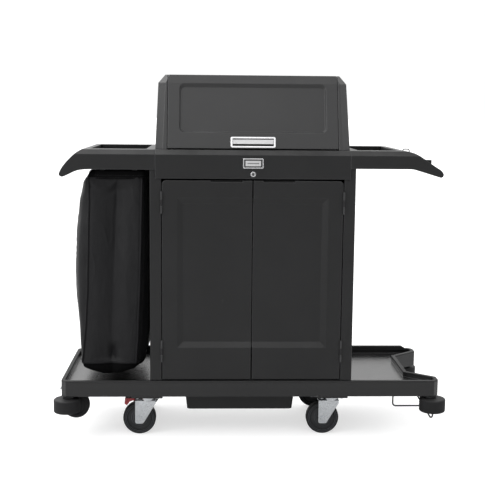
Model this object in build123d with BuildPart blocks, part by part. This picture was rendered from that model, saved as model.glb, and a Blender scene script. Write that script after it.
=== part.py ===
from build123d import *
import math
import os

# Housekeeping cart: base deck on four swivel casters, two-door cabinet, locking hood,
# bag frame at the left end and shallow tray at the right end.
# Millimetres. Origin on the floor at the middle of the deck's footprint,
# +X to the right end, +Y to the back, +Z up. The doors face -Y.

# ---- casters and wheels
wheel_diameter = 125.0
wheel_width = 32.0
hub_diameter = 88.0
caster_lead = 32.0            # axle trails the swivel axis by this much
cheek_gap = 3.0               # wheel side to fork cheek
cheek_thickness = 2.5
wheel_top_gap = 4.0           # wheel top to fork crown
fork_crown = 3.0
race_fork = 4.0
race_plate = 13.0
race_gap = 0.3
plate_thickness = 3.0
axle_diameter = 10.0
kingpin_diameter = 12.0
pin_clearance = 0.05          # radial, every turning pin
inset_left = 319.0            # swivel axis from the left end of the deck
inset_right = 399.0           # swivel axis from the right end of the deck
inset_side = 85.0             # swivel axis from the front or back of the deck

# ---- base deck
deck_length = 1420.0
deck_depth = 510.0
deck_skirt = 60.0             # outer height of the front fascia
deck_rise = 15.0              # caster pad to the lower edge of the skirt
rear_rise = 11.0              # back rim above the front rim
rise_slope = 20.0             # length of the slope at each end of the raised rim
floor_drop = 20.0             # rim to deck floor
floor_thickness = 6.0
skirt_wall = 6.0
rim_width = 14.0
front_corner = 18.0
rear_corner = 28.0
notch_depth = 97.0
notch_inner = 236.0
notch_mouth = 390.0
pad_size = 116.0
rib_thickness = 8.0

# ---- bumpers
bumper_diameter = 98.0
bumper_height = 50.0
bumper_proud = 30.0           # beyond the front and the ends of the deck
bumper_top = 12.0             # below the lower edge of the skirt
bumper_rear_tuck = 16.0       # the back right bumper sits this much further in
bolt_diameter = 12.0
boss_radius = 23.0            # overlaps the skirt so that it is tied to it
guard_diameter = 104.0
guard_width = 24.0
guard_inset = 45.0            # guard disc axis from the left end

# ---- under bin
bin_left = -253.0
bin_right = 171.0
bin_front = 40.0              # bin wall from the front of the deck
bin_depth = 350.0
bin_drop = 97.0               # deck floor's underside to the bin's bottom
bin_taper = 12.0
bin_wall = 4.0
bin_flange = 12.0

# ---- cabinet
cabinet_width = 756.0
cabinet_height = 778.0        # deck floor to the work top's underside
cabinet_setback = 5.0         # stile face behind the deck front
cabinet_back_gap = 16.0       # cabinet back to the deck's back edge
side_wall = 10.0
stile_width = 42.5
stile_depth = 18.0
back_wall = 6.0
shelf_thickness = 14.0
shelf_levels = (252.0, 508.0)  # above the deck floor
shelf_gap = 1.5
ledge_width = 10.0

# ---- doors and hinges
door_thickness = 18.0
door_proud = 3.0              # door face in front of the stile face
door_side_gap = 3.0
door_split_gap = 3.0
door_sill_gap = 3.0
door_head_gap = 6.0
sill_height = 23.0
panel_margin = 55.0
panel_bevel = 22.0
panel_depth = 10.0
panel_low = 121.0             # door foot to the lower edge of the panel
panel_high = 64.0             # door head to the upper edge of the panel
pocket_start = 38.0
pocket_length = 116.0
pocket_depth = 12.0
knuckle_radius = 4.0
hinge_length = 80.0
hinge_low = 108.0             # door foot to the lower hinge's middle
hinge_high = 82.0             # door head to the upper hinge's middle
leaf_thickness = 1.2
leaf_depth = 16.0
hinge_pin = 4.0

# ---- work top
top_width = 714.0
top_height = 104.0
top_bevel = 17.0
top_skin = 5.0
well_half = 300.0
well_front = 52.0             # front of the work top to the well
well_back = 30.0
well_floor = 12.0             # well floor above the lower edge

# ---- lock and label
lock_flange = 19.6
lock_body = 15.0
lock_plug_diameter = 11.0
lock_height = 17.0            # above the work top's lower edge
cam_length = 42.0
cam_width = 13.0
lip_gap = 3.0
label_width = 75.0
label_height = 37.0
label_middle = 56.5           # above the work top's lower edge
label_rim = 4.0
card_gap = 0.7

# ---- hood
hood_half = 358.0
hood_setback = 20.0
hood_back_gap = 27.0
hood_height = 272.0
hood_slope = 80.0             # front leans back this much
shoulder_drop = 30.0          # hood top down to the start of the shoulders
hood_lean_side = 8.0
shoulder_side = 26.0
shoulder_front = 16.0
hood_corner = 28.0
hood_skin = 4.0
lid_half = 312.5
lid_gap = 2.0
lid_foot = 5.0
recess_half = 271.0
recess_low = 60.0
recess_depth = 7.0
recess_bevel = 6.0
rod_diameter = 5.0
rod_knuckle = 5.0

# ---- hood handle
handle_width = 165.0
handle_height = 42.5
handle_foot = 23.0            # along the slope from the lid's lower edge to the middle
handle_rim = 7.0
cup_depth = 24.0
cup_wall = 2.0
paddle_thickness = 4.0
paddle_gap = 9.0              # finger slot under the paddle
paddle_play = 1.5             # above the paddle

# ---- end trays
tray_bevel = 17.0
tray_skin = 5.0
left_band = 72.0
right_band = 65.0
tray_ledge = 24.0
left_straight = 264.0         # work top to the start of the left curve
left_reach = 347.0            # work top to the left tip
left_drop = 92.0              # top face to the left tip
right_straight = 196.0
right_reach = 342.0
right_drop = 86.0
ring_side = 34.0
ring_front = 68.0
ring_back = 52.0
pan_depth = 30.0

# ---- bag
hoop_wire = 8.0
hoop_drop = 12.0              # tray underside to the hoop's centre
bag_gap = 0.4
bag_wall = 4.0
bag_foot = 40.0               # above the deck floor
bag_bulge = 60.0
ear_size = 16.0

# ---- wire holder
wire_diameter = 6.0
wire_bend = 12.0
rack_half = 150.0
rack_leg = 56.0               # inner end of the notch to the leg
rack_run = 133.0
rack_low = 103.0              # deck floor's underside to the rack
hook_half = 165.0
hook_pivot_in = 70.0          # pivot from the right end of the deck
hook_pivot_drop = 43.0        # deck floor's underside to the pivot
hook_reach = 68.0
hook_fall = 111.0
hook_rise = 34.0
bracket_thickness = 4.0

# ---- derived levels
wheel_radius = wheel_diameter / 2
crown_z = wheel_diameter + wheel_top_gap
plate_z = crown_z + fork_crown + race_fork + race_gap + race_plate
pad_z = plate_z + plate_thickness
skirt_z = pad_z + deck_rise
rim_z = skirt_z + deck_skirt
floor_z = rim_z - floor_drop
under_z = floor_z - floor_thickness
half_length = deck_length / 2
hood_shoulder = hood_height - shoulder_drop
half_depth = deck_depth / 2
front_y = -half_depth
swivel_xs = {"left": -half_length + inset_left, "right": half_length - inset_right}
swivel_ys = {"front": front_y + inset_side, "back": half_depth - inset_side}
cab_half = cabinet_width / 2
top_z = floor_z + cabinet_height
work_z = top_z + top_height
stile_y = front_y + cabinet_setback
back_y = half_depth - cabinet_back_gap
opening_half = cab_half - stile_width

os.makedirs("parts", exist_ok=True)


def save(part, name):
    part.label = name
    export_step(part, "parts/" + name + ".step")


def block(x0, x1, y0, y1, z0, z1):
    """Plain box between six planes, kept outside any builder."""
    size = Box(x1 - x0, y1 - y0, z1 - z0, mode=Mode.PRIVATE)
    return Pos((x0 + x1) / 2, (y0 + y1) / 2, (z0 + z1) / 2) * size


def rod(radius, start, end):
    """Plain round bar from start to end, kept outside any builder."""
    axis = Vector(*end) - Vector(*start)
    bar = Cylinder(radius, axis.length, align=(Align.CENTER, Align.CENTER, Align.MIN), mode=Mode.PRIVATE)
    return Plane(origin=start, z_dir=axis) * bar


# ================= base deck =================
deck_outline = [
    (-half_length, -half_depth),
    (half_length, -half_depth),
    (half_length, -notch_mouth / 2),
    (half_length - notch_depth, -notch_inner / 2),
    (half_length - notch_depth, notch_inner / 2),
    (half_length, notch_mouth / 2),
    (half_length, half_depth),
    (-half_length, half_depth),
]
bumper_r = bumper_diameter / 2
bumper_x = half_length + bumper_proud - bumper_r
bumper_y = half_depth + bumper_proud - bumper_r
bumper_z1 = skirt_z - bumper_top
bumper_z0 = bumper_z1 - bumper_height
bumper_spots = {
    "front_left": (-bumper_x, -bumper_y),
    "front_right": (bumper_x, -bumper_y),
    "back_left": (-bumper_x, bumper_y),
    "back_right": (bumper_x - bumper_rear_tuck, bumper_y),
}
bin_y0 = front_y + bin_front
bin_y1 = bin_y0 + bin_depth
guard_x = -half_length + guard_inset
guard_y = -bumper_y + bumper_r + 3 + guard_width / 2
guard_z = skirt_z - 53
peg_y = front_y + 75
peg_z = rim_z - 47
hook_x = half_length - hook_pivot_in
rise_end = half_length - rear_corner
hook_z = under_z - hook_pivot_drop

with BuildPart() as deck:
    with BuildSketch(Plane.XY.offset(skirt_z)) as outline:
        with BuildLine():
            Polyline(*deck_outline, close=True)
        make_face()
        fronts = outline.vertices().group_by(Axis.Y)[0]
        chamfer(fronts, front_corner)
        backs = outline.vertices().group_by(Axis.Y)[-1]
        fillet(backs, rear_corner)
    extrude(amount=deck_skirt)
    # the back rim stands a little higher, with sloping ends
    with BuildSketch(Plane.XZ.offset(-half_depth)):
        with BuildLine():
            Polyline(
                (-rise_end, rim_z - 1),
                (-rise_end + rise_slope, rim_z + rear_rise),
                (rise_end - rise_slope, rim_z + rear_rise),
                (rise_end, rim_z - 1),
                close=True,
            )
        make_face()
    extrude(amount=rim_width)
    # pan above the floor
    with BuildSketch(Plane.XY.offset(floor_z)):
        add(outline.sketch.moved(Location((0, 0, -skirt_z))))
        offset(amount=-rim_width, kind=Kind.INTERSECTION, mode=Mode.REPLACE)
    extrude(amount=floor_drop + 1, mode=Mode.SUBTRACT)
    # hollow underside
    with BuildSketch(Plane.XY.offset(skirt_z)):
        add(outline.sketch.moved(Location((0, 0, -skirt_z))))
        offset(amount=-skirt_wall, kind=Kind.INTERSECTION, mode=Mode.REPLACE)
    extrude(amount=under_z - skirt_z, mode=Mode.SUBTRACT)
    # caster pads on two ribs
    for sx in swivel_xs.values():
        for sy in swivel_ys.values():
            half = pad_size / 2
            add(block(sx - half, sx + half, sy - half, sy + half, pad_z, pad_z + rib_thickness))
            for side in (-1, 1):
                rib_y = sy + side * (half - rib_thickness / 2)
                y0 = rib_y - rib_thickness / 2
                add(block(sx - half, sx + half, y0, y0 + rib_thickness, pad_z, under_z))
    # bumper bosses, tied to the skirt
    for bx, by in bumper_spots.values():
        cx = math.copysign(min(abs(bx), half_length - 26), bx)
        cy = math.copysign(min(abs(by), half_depth - 26), by)
        add(rod(boss_radius, (cx, cy, bumper_z1), (cx, cy, under_z + 1)))
    for bx, by in bumper_spots.values():
        cx = math.copysign(min(abs(bx), half_length - 26), bx)
        cy = math.copysign(min(abs(by), half_depth - 26), by)
        add(rod(bolt_diameter / 2 + 0.1, (cx, cy, bumper_z1 - 1), (cx, cy, under_z - 6)), mode=Mode.SUBTRACT)
    # well for the drop-in bin
    gap = 1.0
    add(
        block(bin_left - gap, bin_right + gap, bin_y0 - gap, bin_y1 + gap, under_z - 1, floor_z + 1),
        mode=Mode.SUBTRACT,
    )
    # bolt hole of the end peg
    add(
        rod(4.1, (-half_length - 1, peg_y, peg_z), (-half_length + skirt_wall + 1, peg_y, peg_z)),
        mode=Mode.SUBTRACT,
    )
save(deck.part, "deck")

# ================= bumpers =================
for spot, (bx, by) in bumper_spots.items():
    cx = math.copysign(min(abs(bx), half_length - 26), bx)
    cy = math.copysign(min(abs(by), half_depth - 26), by)
    with BuildPart() as bumper:
        with BuildSketch(Plane.XY.offset(bumper_z0)):
            with Locations((bx, by)):
                Circle(bumper_r)
        extrude(amount=bumper_height)
        rims = bumper.edges().filter_by(GeomType.CIRCLE).group_by(Axis.Z)
        fillet(rims[0] + rims[-1], 6)
        add(
            rod(bolt_diameter / 2 + 0.1, (cx, cy, bumper_z0 - 1), (cx, cy, bumper_z1 + 1)),
            mode=Mode.SUBTRACT,
        )
        add(rod(13, (cx, cy, bumper_z0 - 1), (cx, cy, bumper_z0 + 10)), mode=Mode.SUBTRACT)
    save(bumper.part, "bumper_" + spot)

with BuildPart() as bumper_bolts:
    for bx, by in bumper_spots.values():
        cx = math.copysign(min(abs(bx), half_length - 26), bx)
        cy = math.copysign(min(abs(by), half_depth - 26), by)
        add(rod(bolt_diameter / 2, (cx, cy, bumper_z0 + 5), (cx, cy, under_z - 8)))
        with BuildSketch(Plane.XY.offset(bumper_z0 + 2)):
            with Locations((cx, cy)):
                RegularPolygon(10, 6)
        extrude(amount=8)
save(bumper_bolts.part, "bumper_bolts")

with BuildPart() as guard_disc:
    with BuildSketch(Plane.XZ.offset(-(guard_y - guard_width / 2))):
        with Locations((guard_x, guard_z)):
            Circle(guard_diameter / 2)
    extrude(amount=-guard_width)
    rims = guard_disc.edges().filter_by(GeomType.CIRCLE)
    fillet(rims, 6)
    with BuildSketch(Plane.XZ.offset(-(guard_y - guard_width / 2))):
        with Locations((guard_x, guard_z)):
            Circle(guard_diameter / 2 - 14)
            Circle(16, mode=Mode.SUBTRACT)
    extrude(amount=-4, mode=Mode.SUBTRACT)
    # arm that carries the disc under the deck
    arm_y = guard_y + guard_width / 2
    add(block(guard_x - 17, guard_x + 17, arm_y, arm_y + 8, guard_z - 16, under_z))
    add(rod(8, (guard_x, guard_y, guard_z), (guard_x, arm_y + 12, guard_z)))
save(guard_disc.part, "guard_disc")

with BuildPart() as end_peg:
    add(rod(4, (-half_length - 13, peg_y, peg_z), (-half_length + skirt_wall + 5, peg_y, peg_z)))
    add(rod(7, (-half_length + skirt_wall, peg_y, peg_z), (-half_length + skirt_wall + 4, peg_y, peg_z)))
    add(rod(5.5, (-half_length - 13, peg_y, peg_z), (-half_length - 10, peg_y, peg_z)))
save(end_peg.part, "end_peg")

# ================= casters =================
cheek_in = wheel_width / 2 + cheek_gap
cheek_out = cheek_in + cheek_thickness
fork_left = -16.0
fork_right = caster_lead + 30.0
axle_half = cheek_out + 6.0
lever_pivot = (-8.0, wheel_radius - 12.0)

for xname, sx in swivel_xs.items():
    for yname, sy in swivel_ys.items():
        where = yname + "_" + xname
        ax = sx - caster_lead
        braked = where == "front_left"

        with BuildPart() as caster_plate:
            add(block(sx - 50, sx + 50, sy - 42, sy + 42, plate_z, pad_z))
            add(rod(28, (sx, sy, plate_z - race_plate), (sx, sy, plate_z)))
            add(rod(kingpin_diameter / 2, (sx, sy, crown_z - 4), (sx, sy, plate_z)))
            with BuildSketch(Plane.XY.offset(crown_z - race_gap - 5)):
                with Locations((sx, sy)):
                    RegularPolygon(10, 6)
            extrude(amount=5)
            for bx in (-38, 38):
                for by in (-31, 31):
                    add(rod(6, (sx + bx, sy + by, plate_z - 5), (sx + bx, sy + by, plate_z)))
        save(caster_plate.part, "caster_plate_" + where)

        with BuildPart() as caster_fork:
            for side in (-1, 1):
                y0 = sy + side * (cheek_in + cheek_thickness / 2) + cheek_thickness / 2
                with BuildSketch(Plane.XZ.offset(-y0)) as cheek:
                    with BuildLine():
                        Polyline(
                            (ax + fork_left, crown_z + fork_crown),
                            (ax + fork_left, wheel_radius - 21),
                            (ax + 14, wheel_radius - 21),
                            (ax + fork_right, crown_z - 7),
                            (ax + fork_right, crown_z + fork_crown),
                            close=True,
                        )
                    make_face()
                    lows = cheek.vertices().group_by(Axis.Y)[0]
                    fillet(lows, 8)
                extrude(amount=cheek_thickness)
            add(
                block(
                    ax + fork_left,
                    ax + fork_right,
                    sy - cheek_out,
                    sy + cheek_out,
                    crown_z,
                    crown_z + fork_crown,
                ),
            )
            add(rod(25, (sx, sy, crown_z), (sx, sy, crown_z + fork_crown + race_fork)))
            add(
                rod(kingpin_diameter / 2 + pin_clearance, (sx, sy, crown_z - 1), (sx, sy, plate_z)),
                mode=Mode.SUBTRACT,
            )
            add(
                rod(
                    axle_diameter / 2 + pin_clearance,
                    (ax, sy - 40, wheel_radius),
                    (ax, sy + 40, wheel_radius),
                ),
                mode=Mode.SUBTRACT,
            )
            if braked:
                pz = wheel_radius + lever_pivot[1]
                px = ax + lever_pivot[0]
                add(rod(3 + pin_clearance, (px, sy, pz), (px, sy + 40, pz)), mode=Mode.SUBTRACT)
        save(caster_fork.part, "caster_fork_" + where)

        with BuildPart() as caster_axle:
            add(
                rod(
                    axle_diameter / 2, (ax, sy - axle_half, wheel_radius), (ax, sy + axle_half, wheel_radius),
                ),
            )
            for y0 in (sy - axle_half, sy + cheek_out):
                with BuildSketch(Plane.XZ.offset(-y0)):
                    with Locations((ax, wheel_radius)):
                        RegularPolygon(8.5, 6)
                extrude(amount=-(axle_half - cheek_out))
        save(caster_axle.part, "caster_axle_" + where)

        with BuildPart() as wheel_hub:
            hub_r = hub_diameter / 2
            add(
                rod(
                    hub_r,
                    (ax, sy - wheel_width / 2 + 3, wheel_radius),
                    (ax, sy + wheel_width / 2 - 3, wheel_radius),
                ),
            )
            for side in (-1, 1):
                y0 = sy + side * (wheel_width / 2 - 7)
                y1 = sy + side * (wheel_width / 2)
                with BuildSketch(Plane(origin=(ax, y0, wheel_radius), z_dir=(0, side, 0))):
                    Circle(hub_r - 6)
                    Circle(18, mode=Mode.SUBTRACT)
                extrude(amount=10, mode=Mode.SUBTRACT)
                add(rod(13, (ax, y0, wheel_radius), (ax, y1 + side * (cheek_gap - 0.5), wheel_radius)))
            add(
                rod(
                    axle_diameter / 2 + pin_clearance,
                    (ax, sy - 40, wheel_radius),
                    (ax, sy + 40, wheel_radius),
                ),
                mode=Mode.SUBTRACT,
            )
        save(wheel_hub.part, "wheel_hub_" + where)

        with BuildPart() as wheel_tyre:
            tread = rod(
                wheel_radius,
                (ax, sy - wheel_width / 2, wheel_radius),
                (ax, sy + wheel_width / 2, wheel_radius),
            )
            add(tread)
            fillet(wheel_tyre.edges().filter_by(GeomType.CIRCLE), 5)
            add(
                rod(
                    hub_diameter / 2,
                    (ax, sy - wheel_width, wheel_radius),
                    (ax, sy + wheel_width, wheel_radius),
                ),
                mode=Mode.SUBTRACT,
            )
        save(wheel_tyre.part, "wheel_tyre_" + where)

        if braked:
            px = ax + lever_pivot[0]
            pz = wheel_radius + lever_pivot[1]
            arm_in = cheek_out + 0.4
            arm_out = arm_in + 2.5
            with BuildPart() as brake_lever:
                # one arm, outside the back cheek
                with BuildSketch(Plane.XZ.offset(-(sy + arm_out))):
                    with BuildLine():
                        Polyline(
                            (px + 7, pz - 7),
                            (px + 7, pz + 7),
                            (px - 12, pz + 30),
                            (px - 24, pz + 30),
                            (px - 22, pz + 14),
                            (px - 7, pz - 7),
                            close=True,
                        )
                    make_face()
                extrude(amount=arm_out - arm_in)
                add(rod(3, (px, sy + cheek_in + 0.3, pz), (px, sy + arm_out, pz)))
                # toe plate over the wheel's leading edge
                with BuildSketch(Plane.XZ.offset(-(sy + arm_out))):
                    with BuildLine():
                        Polyline(
                            (px - 10.5, pz + 30),
                            (px - 46, pz + 30),
                            (px - 48, pz + 9),
                            (px - 39, pz + 2),
                            (px - 28, pz + 17),
                            (px - 10.5, pz + 23),
                            close=True,
                        )
                    make_face()
                extrude(amount=2 * arm_out)
            save(brake_lever.part, "brake_lever")

# ================= under bin =================
with BuildPart() as under_bin:
    bin_z0 = under_z - bin_drop
    for grow, bottom, mode in ((0.0, 0.0, Mode.ADD), (-bin_wall, bin_wall, Mode.SUBTRACT)):
        mid_x = (bin_left + bin_right) / 2
        mid_y = (bin_y0 + bin_y1) / 2
        wide = bin_right - bin_left + 2 * grow
        deep = bin_depth + 2 * grow
        top = floor_z + 3 - (0 if mode == Mode.ADD else -1)
        with BuildSketch(Plane.XY.offset(top)):
            with Locations((mid_x, mid_y)):
                RectangleRounded(wide, deep, 14)
        with BuildSketch(Plane.XY.offset(bin_z0 + bottom)):
            with Locations((mid_x, mid_y)):
                RectangleRounded(wide - 2 * bin_taper, deep - 2 * bin_taper, 14)
        loft(mode=mode)
    with BuildSketch(Plane.XY.offset(floor_z)):
        with Locations(((bin_left + bin_right) / 2, (bin_y0 + bin_y1) / 2)):
            Rectangle(bin_right - bin_left + 2 * bin_flange, bin_depth + 2 * bin_flange)
            RectangleRounded(
                bin_right - bin_left - 2 * bin_wall, bin_depth - 2 * bin_wall, 12, mode=Mode.SUBTRACT,
            )
    extrude(amount=3)
save(under_bin.part, "under_bin")

# ================= cabinet =================
side_in = cab_half - side_wall
tray_bottoms = {-1: work_z - left_band, 1: work_z - right_band}
for side, name in ((-1, "left"), (1, "right")):
    with BuildPart() as cabinet_side:

        def span(a, b, y0, y1, z0, z1, mode=Mode.ADD):
            lo, hi = sorted((side * a, side * b))
            add(block(lo, hi, y0, y1, z0, z1), mode=mode)

        span(side_in, cab_half, stile_y, back_y, floor_z, tray_bottoms[side])
        span(opening_half, cab_half, stile_y, stile_y + stile_depth, floor_z, top_z)
        span(cab_half - 20, cab_half, stile_y, stile_y + stile_depth, top_z, tray_bottoms[side])
        # room for the deck's front rim and the work top
        span(
            opening_half - 1,
            cab_half + 1,
            stile_y - 1,
            front_y + rim_width + 0.5,
            floor_z - 1,
            rim_z + 2,
            Mode.SUBTRACT,
        )
        for level in shelf_levels:
            z1 = floor_z + level
            span(side_in - ledge_width, side_in, stile_y + 60, back_y - 30, z1 - 10, z1)
        outer = cabinet_side.edges().filter_by(Axis.Z).group_by(Axis.Y)[0]
        corner = outer.sort_by(Axis.X)[-1 if side > 0 else 0]
        fillet(corner, 6)
    save(cabinet_side.part, "cabinet_side_" + name)

with BuildPart() as cabinet_back:
    add(block(-side_in, side_in, back_y - back_wall, back_y, floor_z, top_z))
    for x in (-200, 0, 200):
        add(block(x - 6, x + 6, back_y - back_wall - 4, back_y - back_wall, floor_z + 30, top_z - 30))
save(cabinet_back.part, "cabinet_back")

sill_y = front_y + rim_width + 0.5
with BuildPart() as cabinet_sill:
    add(block(-opening_half, opening_half, sill_y, sill_y + 8, floor_z, floor_z + sill_height))
save(cabinet_sill.part, "cabinet_sill")

shelf_half = side_in - shelf_gap
shelf_y0 = stile_y + stile_depth + 6
shelf_y1 = back_y - back_wall - 4 - shelf_gap
for level, name in zip(shelf_levels, ("lower", "upper")):
    z0 = floor_z + level
    with BuildPart() as shelf:
        add(block(-shelf_half, shelf_half, shelf_y0, shelf_y1, z0, z0 + shelf_thickness))
        # ribbed underside
        cells = 5
        rib = 6
        pitch = (2 * shelf_half - 60 - rib) / cells
        for i in range(cells):
            x0 = -shelf_half + 30 + rib + i * pitch
            add(
                block(x0, x0 + pitch - rib, shelf_y0 + rib, shelf_y1 - rib, z0 - 1, z0 + shelf_thickness - 5),
                mode=Mode.SUBTRACT,
            )
    save(shelf.part, "shelf_" + name)

# ================= doors =================
door_y0 = stile_y - door_proud
door_y1 = door_y0 + door_thickness
door_z0 = floor_z + sill_height + door_sill_gap
door_z1 = top_z - door_head_gap
door_out = opening_half - door_side_gap
door_in = door_split_gap / 2
pin_x = opening_half - door_side_gap / 2
pin_y = door_y0 - knuckle_radius - 0.5
knuckle_third = hinge_length / 3
hinge_zs = (door_z0 + hinge_low, door_z1 - hinge_high)
lock_z = top_z + lock_height
cam_y0 = door_y1 + 4.0
cam_y1 = cam_y0 + 2.0

for side, name in ((-1, "left"), (1, "right")):
    with BuildPart() as door:

        def span(a, b, y0, y1, z0, z1, mode=Mode.ADD):
            lo, hi = sorted((side * a, side * b))
            add(block(lo, hi, y0, y1, z0, z1), mode=mode)

        span(door_in, door_out, door_y0, door_y1, door_z0, door_z1)
        upper = door.edges().filter_by(Axis.Y).group_by(Axis.Z)[-1]
        corner = upper.sort_by(Axis.X)[-1 if side > 0 else 0]
        fillet(corner, 16)
        face = door.faces().sort_by(Axis.Y)[0]
        chamfer(face.edges(), 2)
        # recessed panel that runs on across the split
        x1 = side * (door_out - panel_margin)
        x2 = side * (door_out - panel_margin - panel_bevel)
        with BuildSketch(Plane.XZ.offset(-door_y0)):
            with Locations((x1 / 2 - side * 10, (door_z0 + panel_low + door_z1 - panel_high) / 2)):
                Rectangle(abs(x1) + 20, door_z1 - panel_high - door_z0 - panel_low)
        with BuildSketch(Plane.XZ.offset(-(door_y0 + panel_depth))):
            with Locations((x2 / 2 - side * 10, (door_z0 + panel_low + door_z1 - panel_high) / 2)):
                Rectangle(abs(x2) + 20, door_z1 - panel_high - door_z0 - panel_low - 2 * panel_bevel)
        loft(ruled=True, mode=Mode.SUBTRACT)
        # finger pocket in the head
        span(
            pocket_start, pocket_start + pocket_length,
            door_y0 - 1, door_y0 + pocket_depth, door_z1 - 6, door_z1 + 1, Mode.SUBTRACT,
        )
        # catch lip behind the head for the lock's cam
        lip_y = cam_y1 + lip_gap
        span(
            door_in + 1,
            door_in + 36,
            door_y1 - 1,
            lip_y + 3,
            lock_z - cam_length - 9,
            lock_z - cam_length - 5,
        )
        span(door_in + 1, door_in + 36, lip_y, lip_y + 3, lock_z - cam_length - 9, door_z1 - 4)
        # hinge leaves with their middle knuckles
        for hz in hinge_zs:
            k = knuckle_third / 2 - 0.3
            span(door_out - 1, door_out + leaf_thickness, pin_y + 1, door_y0 + leaf_depth, hz - k, hz + k)
            add(rod(knuckle_radius, (side * pin_x, pin_y, hz - k), (side * pin_x, pin_y, hz + k)))
            add(
                rod(
                    hinge_pin / 2 + pin_clearance,
                    (side * pin_x, pin_y, hz - 20),
                    (side * pin_x, pin_y, hz + 20),
                ),
                mode=Mode.SUBTRACT,
            )
    save(door.part, "door_" + name)

with BuildPart() as hinge_leaves:
    for side in (-1, 1):
        for hz in hinge_zs:
            half = hinge_length / 2
            k = knuckle_third / 2 + 0.3
            lo, hi = sorted((side * (opening_half - leaf_thickness), side * opening_half))
            add(block(lo, hi, stile_y, door_y0 + leaf_depth, hz - half, hz + half))
            for z0, z1 in ((hz - half, hz - k), (hz + k, hz + half)):
                add(rod(knuckle_radius, (side * pin_x, pin_y, z0), (side * pin_x, pin_y, z1)))
                add(block(lo, hi, pin_y + 1, stile_y, z0, z1))
    for side in (-1, 1):
        for hz in hinge_zs:
            add(
                rod(hinge_pin / 2, (side * pin_x, pin_y, hz - 60), (side * pin_x, pin_y, hz + 60)),
                mode=Mode.SUBTRACT,
            )
save(hinge_leaves.part, "hinge_leaves")

with BuildPart() as hinge_pins:
    for side in (-1, 1):
        for hz in hinge_zs:
            half = hinge_length / 2
            add(rod(hinge_pin / 2, (side * pin_x, pin_y, hz - half), (side * pin_x, pin_y, hz + half)))
            add(
                rod(
                    hinge_pin / 2 + 1, (side * pin_x, pin_y, hz + half), (side * pin_x, pin_y, hz + half + 2),
                ),
            )
save(hinge_pins.part, "hinge_pins")

# ================= work top =================
top_half = top_width / 2
with BuildPart() as worktop:
    add(block(-top_half, top_half, front_y, half_depth, top_z, work_z))
    uppers = worktop.edges().filter_by(Axis.X).group_by(Axis.Z)[-1]
    chamfer(uppers, top_bevel)
    # hollow underside, left and right of and in front of the well
    well_y0 = front_y + well_front
    well_y1 = half_depth - well_back
    s = top_skin
    outside = Part() + block(
        -top_half + s, top_half - s, front_y + s, half_depth - s, top_z - 1, work_z - top_bevel - s
    )
    keep = block(-well_half - s, well_half + s, well_y0 - s, well_y1 + s, top_z - 2, work_z)
    add(outside - keep, mode=Mode.SUBTRACT)
    add(
        block(-well_half, well_half, well_y0, well_y1, top_z + well_floor, work_z + 1),
        mode=Mode.SUBTRACT,
    )
    add(
        block(-well_half, well_half, well_y0, well_y1, top_z - 1, top_z + well_floor - s),
        mode=Mode.SUBTRACT,
    )
    add(rod(lock_body / 2 + 0.1, (0, front_y - 1, lock_z), (0, front_y + s + 1, lock_z)), mode=Mode.SUBTRACT)
save(worktop.part, "worktop")

with BuildPart() as lock_barrel:
    add(rod(lock_flange / 2, (0, front_y - 3, lock_z), (0, front_y, lock_z)))
    fillet(lock_barrel.edges().filter_by(GeomType.CIRCLE).sort_by(Axis.Y)[0], 1.2)
    add(rod(lock_body / 2, (0, front_y, lock_z), (0, cam_y0 - 0.3, lock_z)))
    add(
        rod(lock_plug_diameter / 2 + pin_clearance, (0, front_y - 4, lock_z), (0, cam_y0, lock_z)),
        mode=Mode.SUBTRACT,
    )
save(lock_barrel.part, "lock_barrel")

with BuildPart() as lock_plug:
    add(rod(lock_plug_diameter / 2, (0, front_y - 2.6, lock_z), (0, cam_y0, lock_z)))
    add(block(-1, 1, front_y - 4, front_y + 8, lock_z - 4, lock_z + 4), mode=Mode.SUBTRACT)
    with BuildSketch(Plane.XZ.offset(-cam_y0)):
        with Locations((cam_length / 2 - cam_width / 4, lock_z)):
            SlotOverall(cam_length + cam_width / 2, cam_width)
    extrude(amount=-2)
    add(rod(4, (0, cam_y1, lock_z), (0, cam_y1 + 3, lock_z)))
save(lock_plug.part, "lock_plug")

label_z = top_z + label_middle
with BuildPart() as label_frame:
    with BuildSketch(Plane.XZ.offset(-front_y)):
        with Locations((0, label_z)):
            RectangleRounded(label_width, label_height, 4)
            RectangleRounded(label_width - 2 * label_rim, label_height - 2 * label_rim, 2, mode=Mode.SUBTRACT)
    extrude(amount=3)
    front_edges = label_frame.faces().sort_by(Axis.Y)[0].outer_wire().edges()
    fillet(front_edges, 1)
save(label_frame.part, "label_frame")

with BuildPart() as label_card:
    with BuildSketch(Plane.XY.offset(label_z - label_height / 2 + label_rim + card_gap)):
        w = label_width / 2 - label_rim - card_gap
        with BuildLine():
            Line((-w, front_y), (w, front_y))
            Line((w, front_y), (w, front_y - 0.8))
            ThreePointArc((w, front_y - 0.8), (0, front_y - 2.2), (-w, front_y - 0.8))
            Line((-w, front_y - 0.8), (-w, front_y))
        make_face()
    extrude(amount=label_height - 2 * label_rim - 2 * card_gap)
save(label_card.part, "label_card")


# ================= hood =================
hood_y0 = front_y + hood_setback
hood_y1 = half_depth - hood_back_gap
shoulder_z = work_z + hood_shoulder
hood_top = work_z + hood_height


def hood_ring(z, half, y0, y1, cut):
    """Plan outline of the hood at one level, with slanted front corners."""
    with BuildSketch(Plane.XY.offset(z)) as ring:
        with BuildLine():
            Polyline(
                (-half, y1),
                (-half, y0 + cut),
                (-half + cut, y0),
                (half - cut, y0),
                (half, y0 + cut),
                (half, y1),
                close=True,
            )
        make_face()
    return ring.sketch


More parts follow.
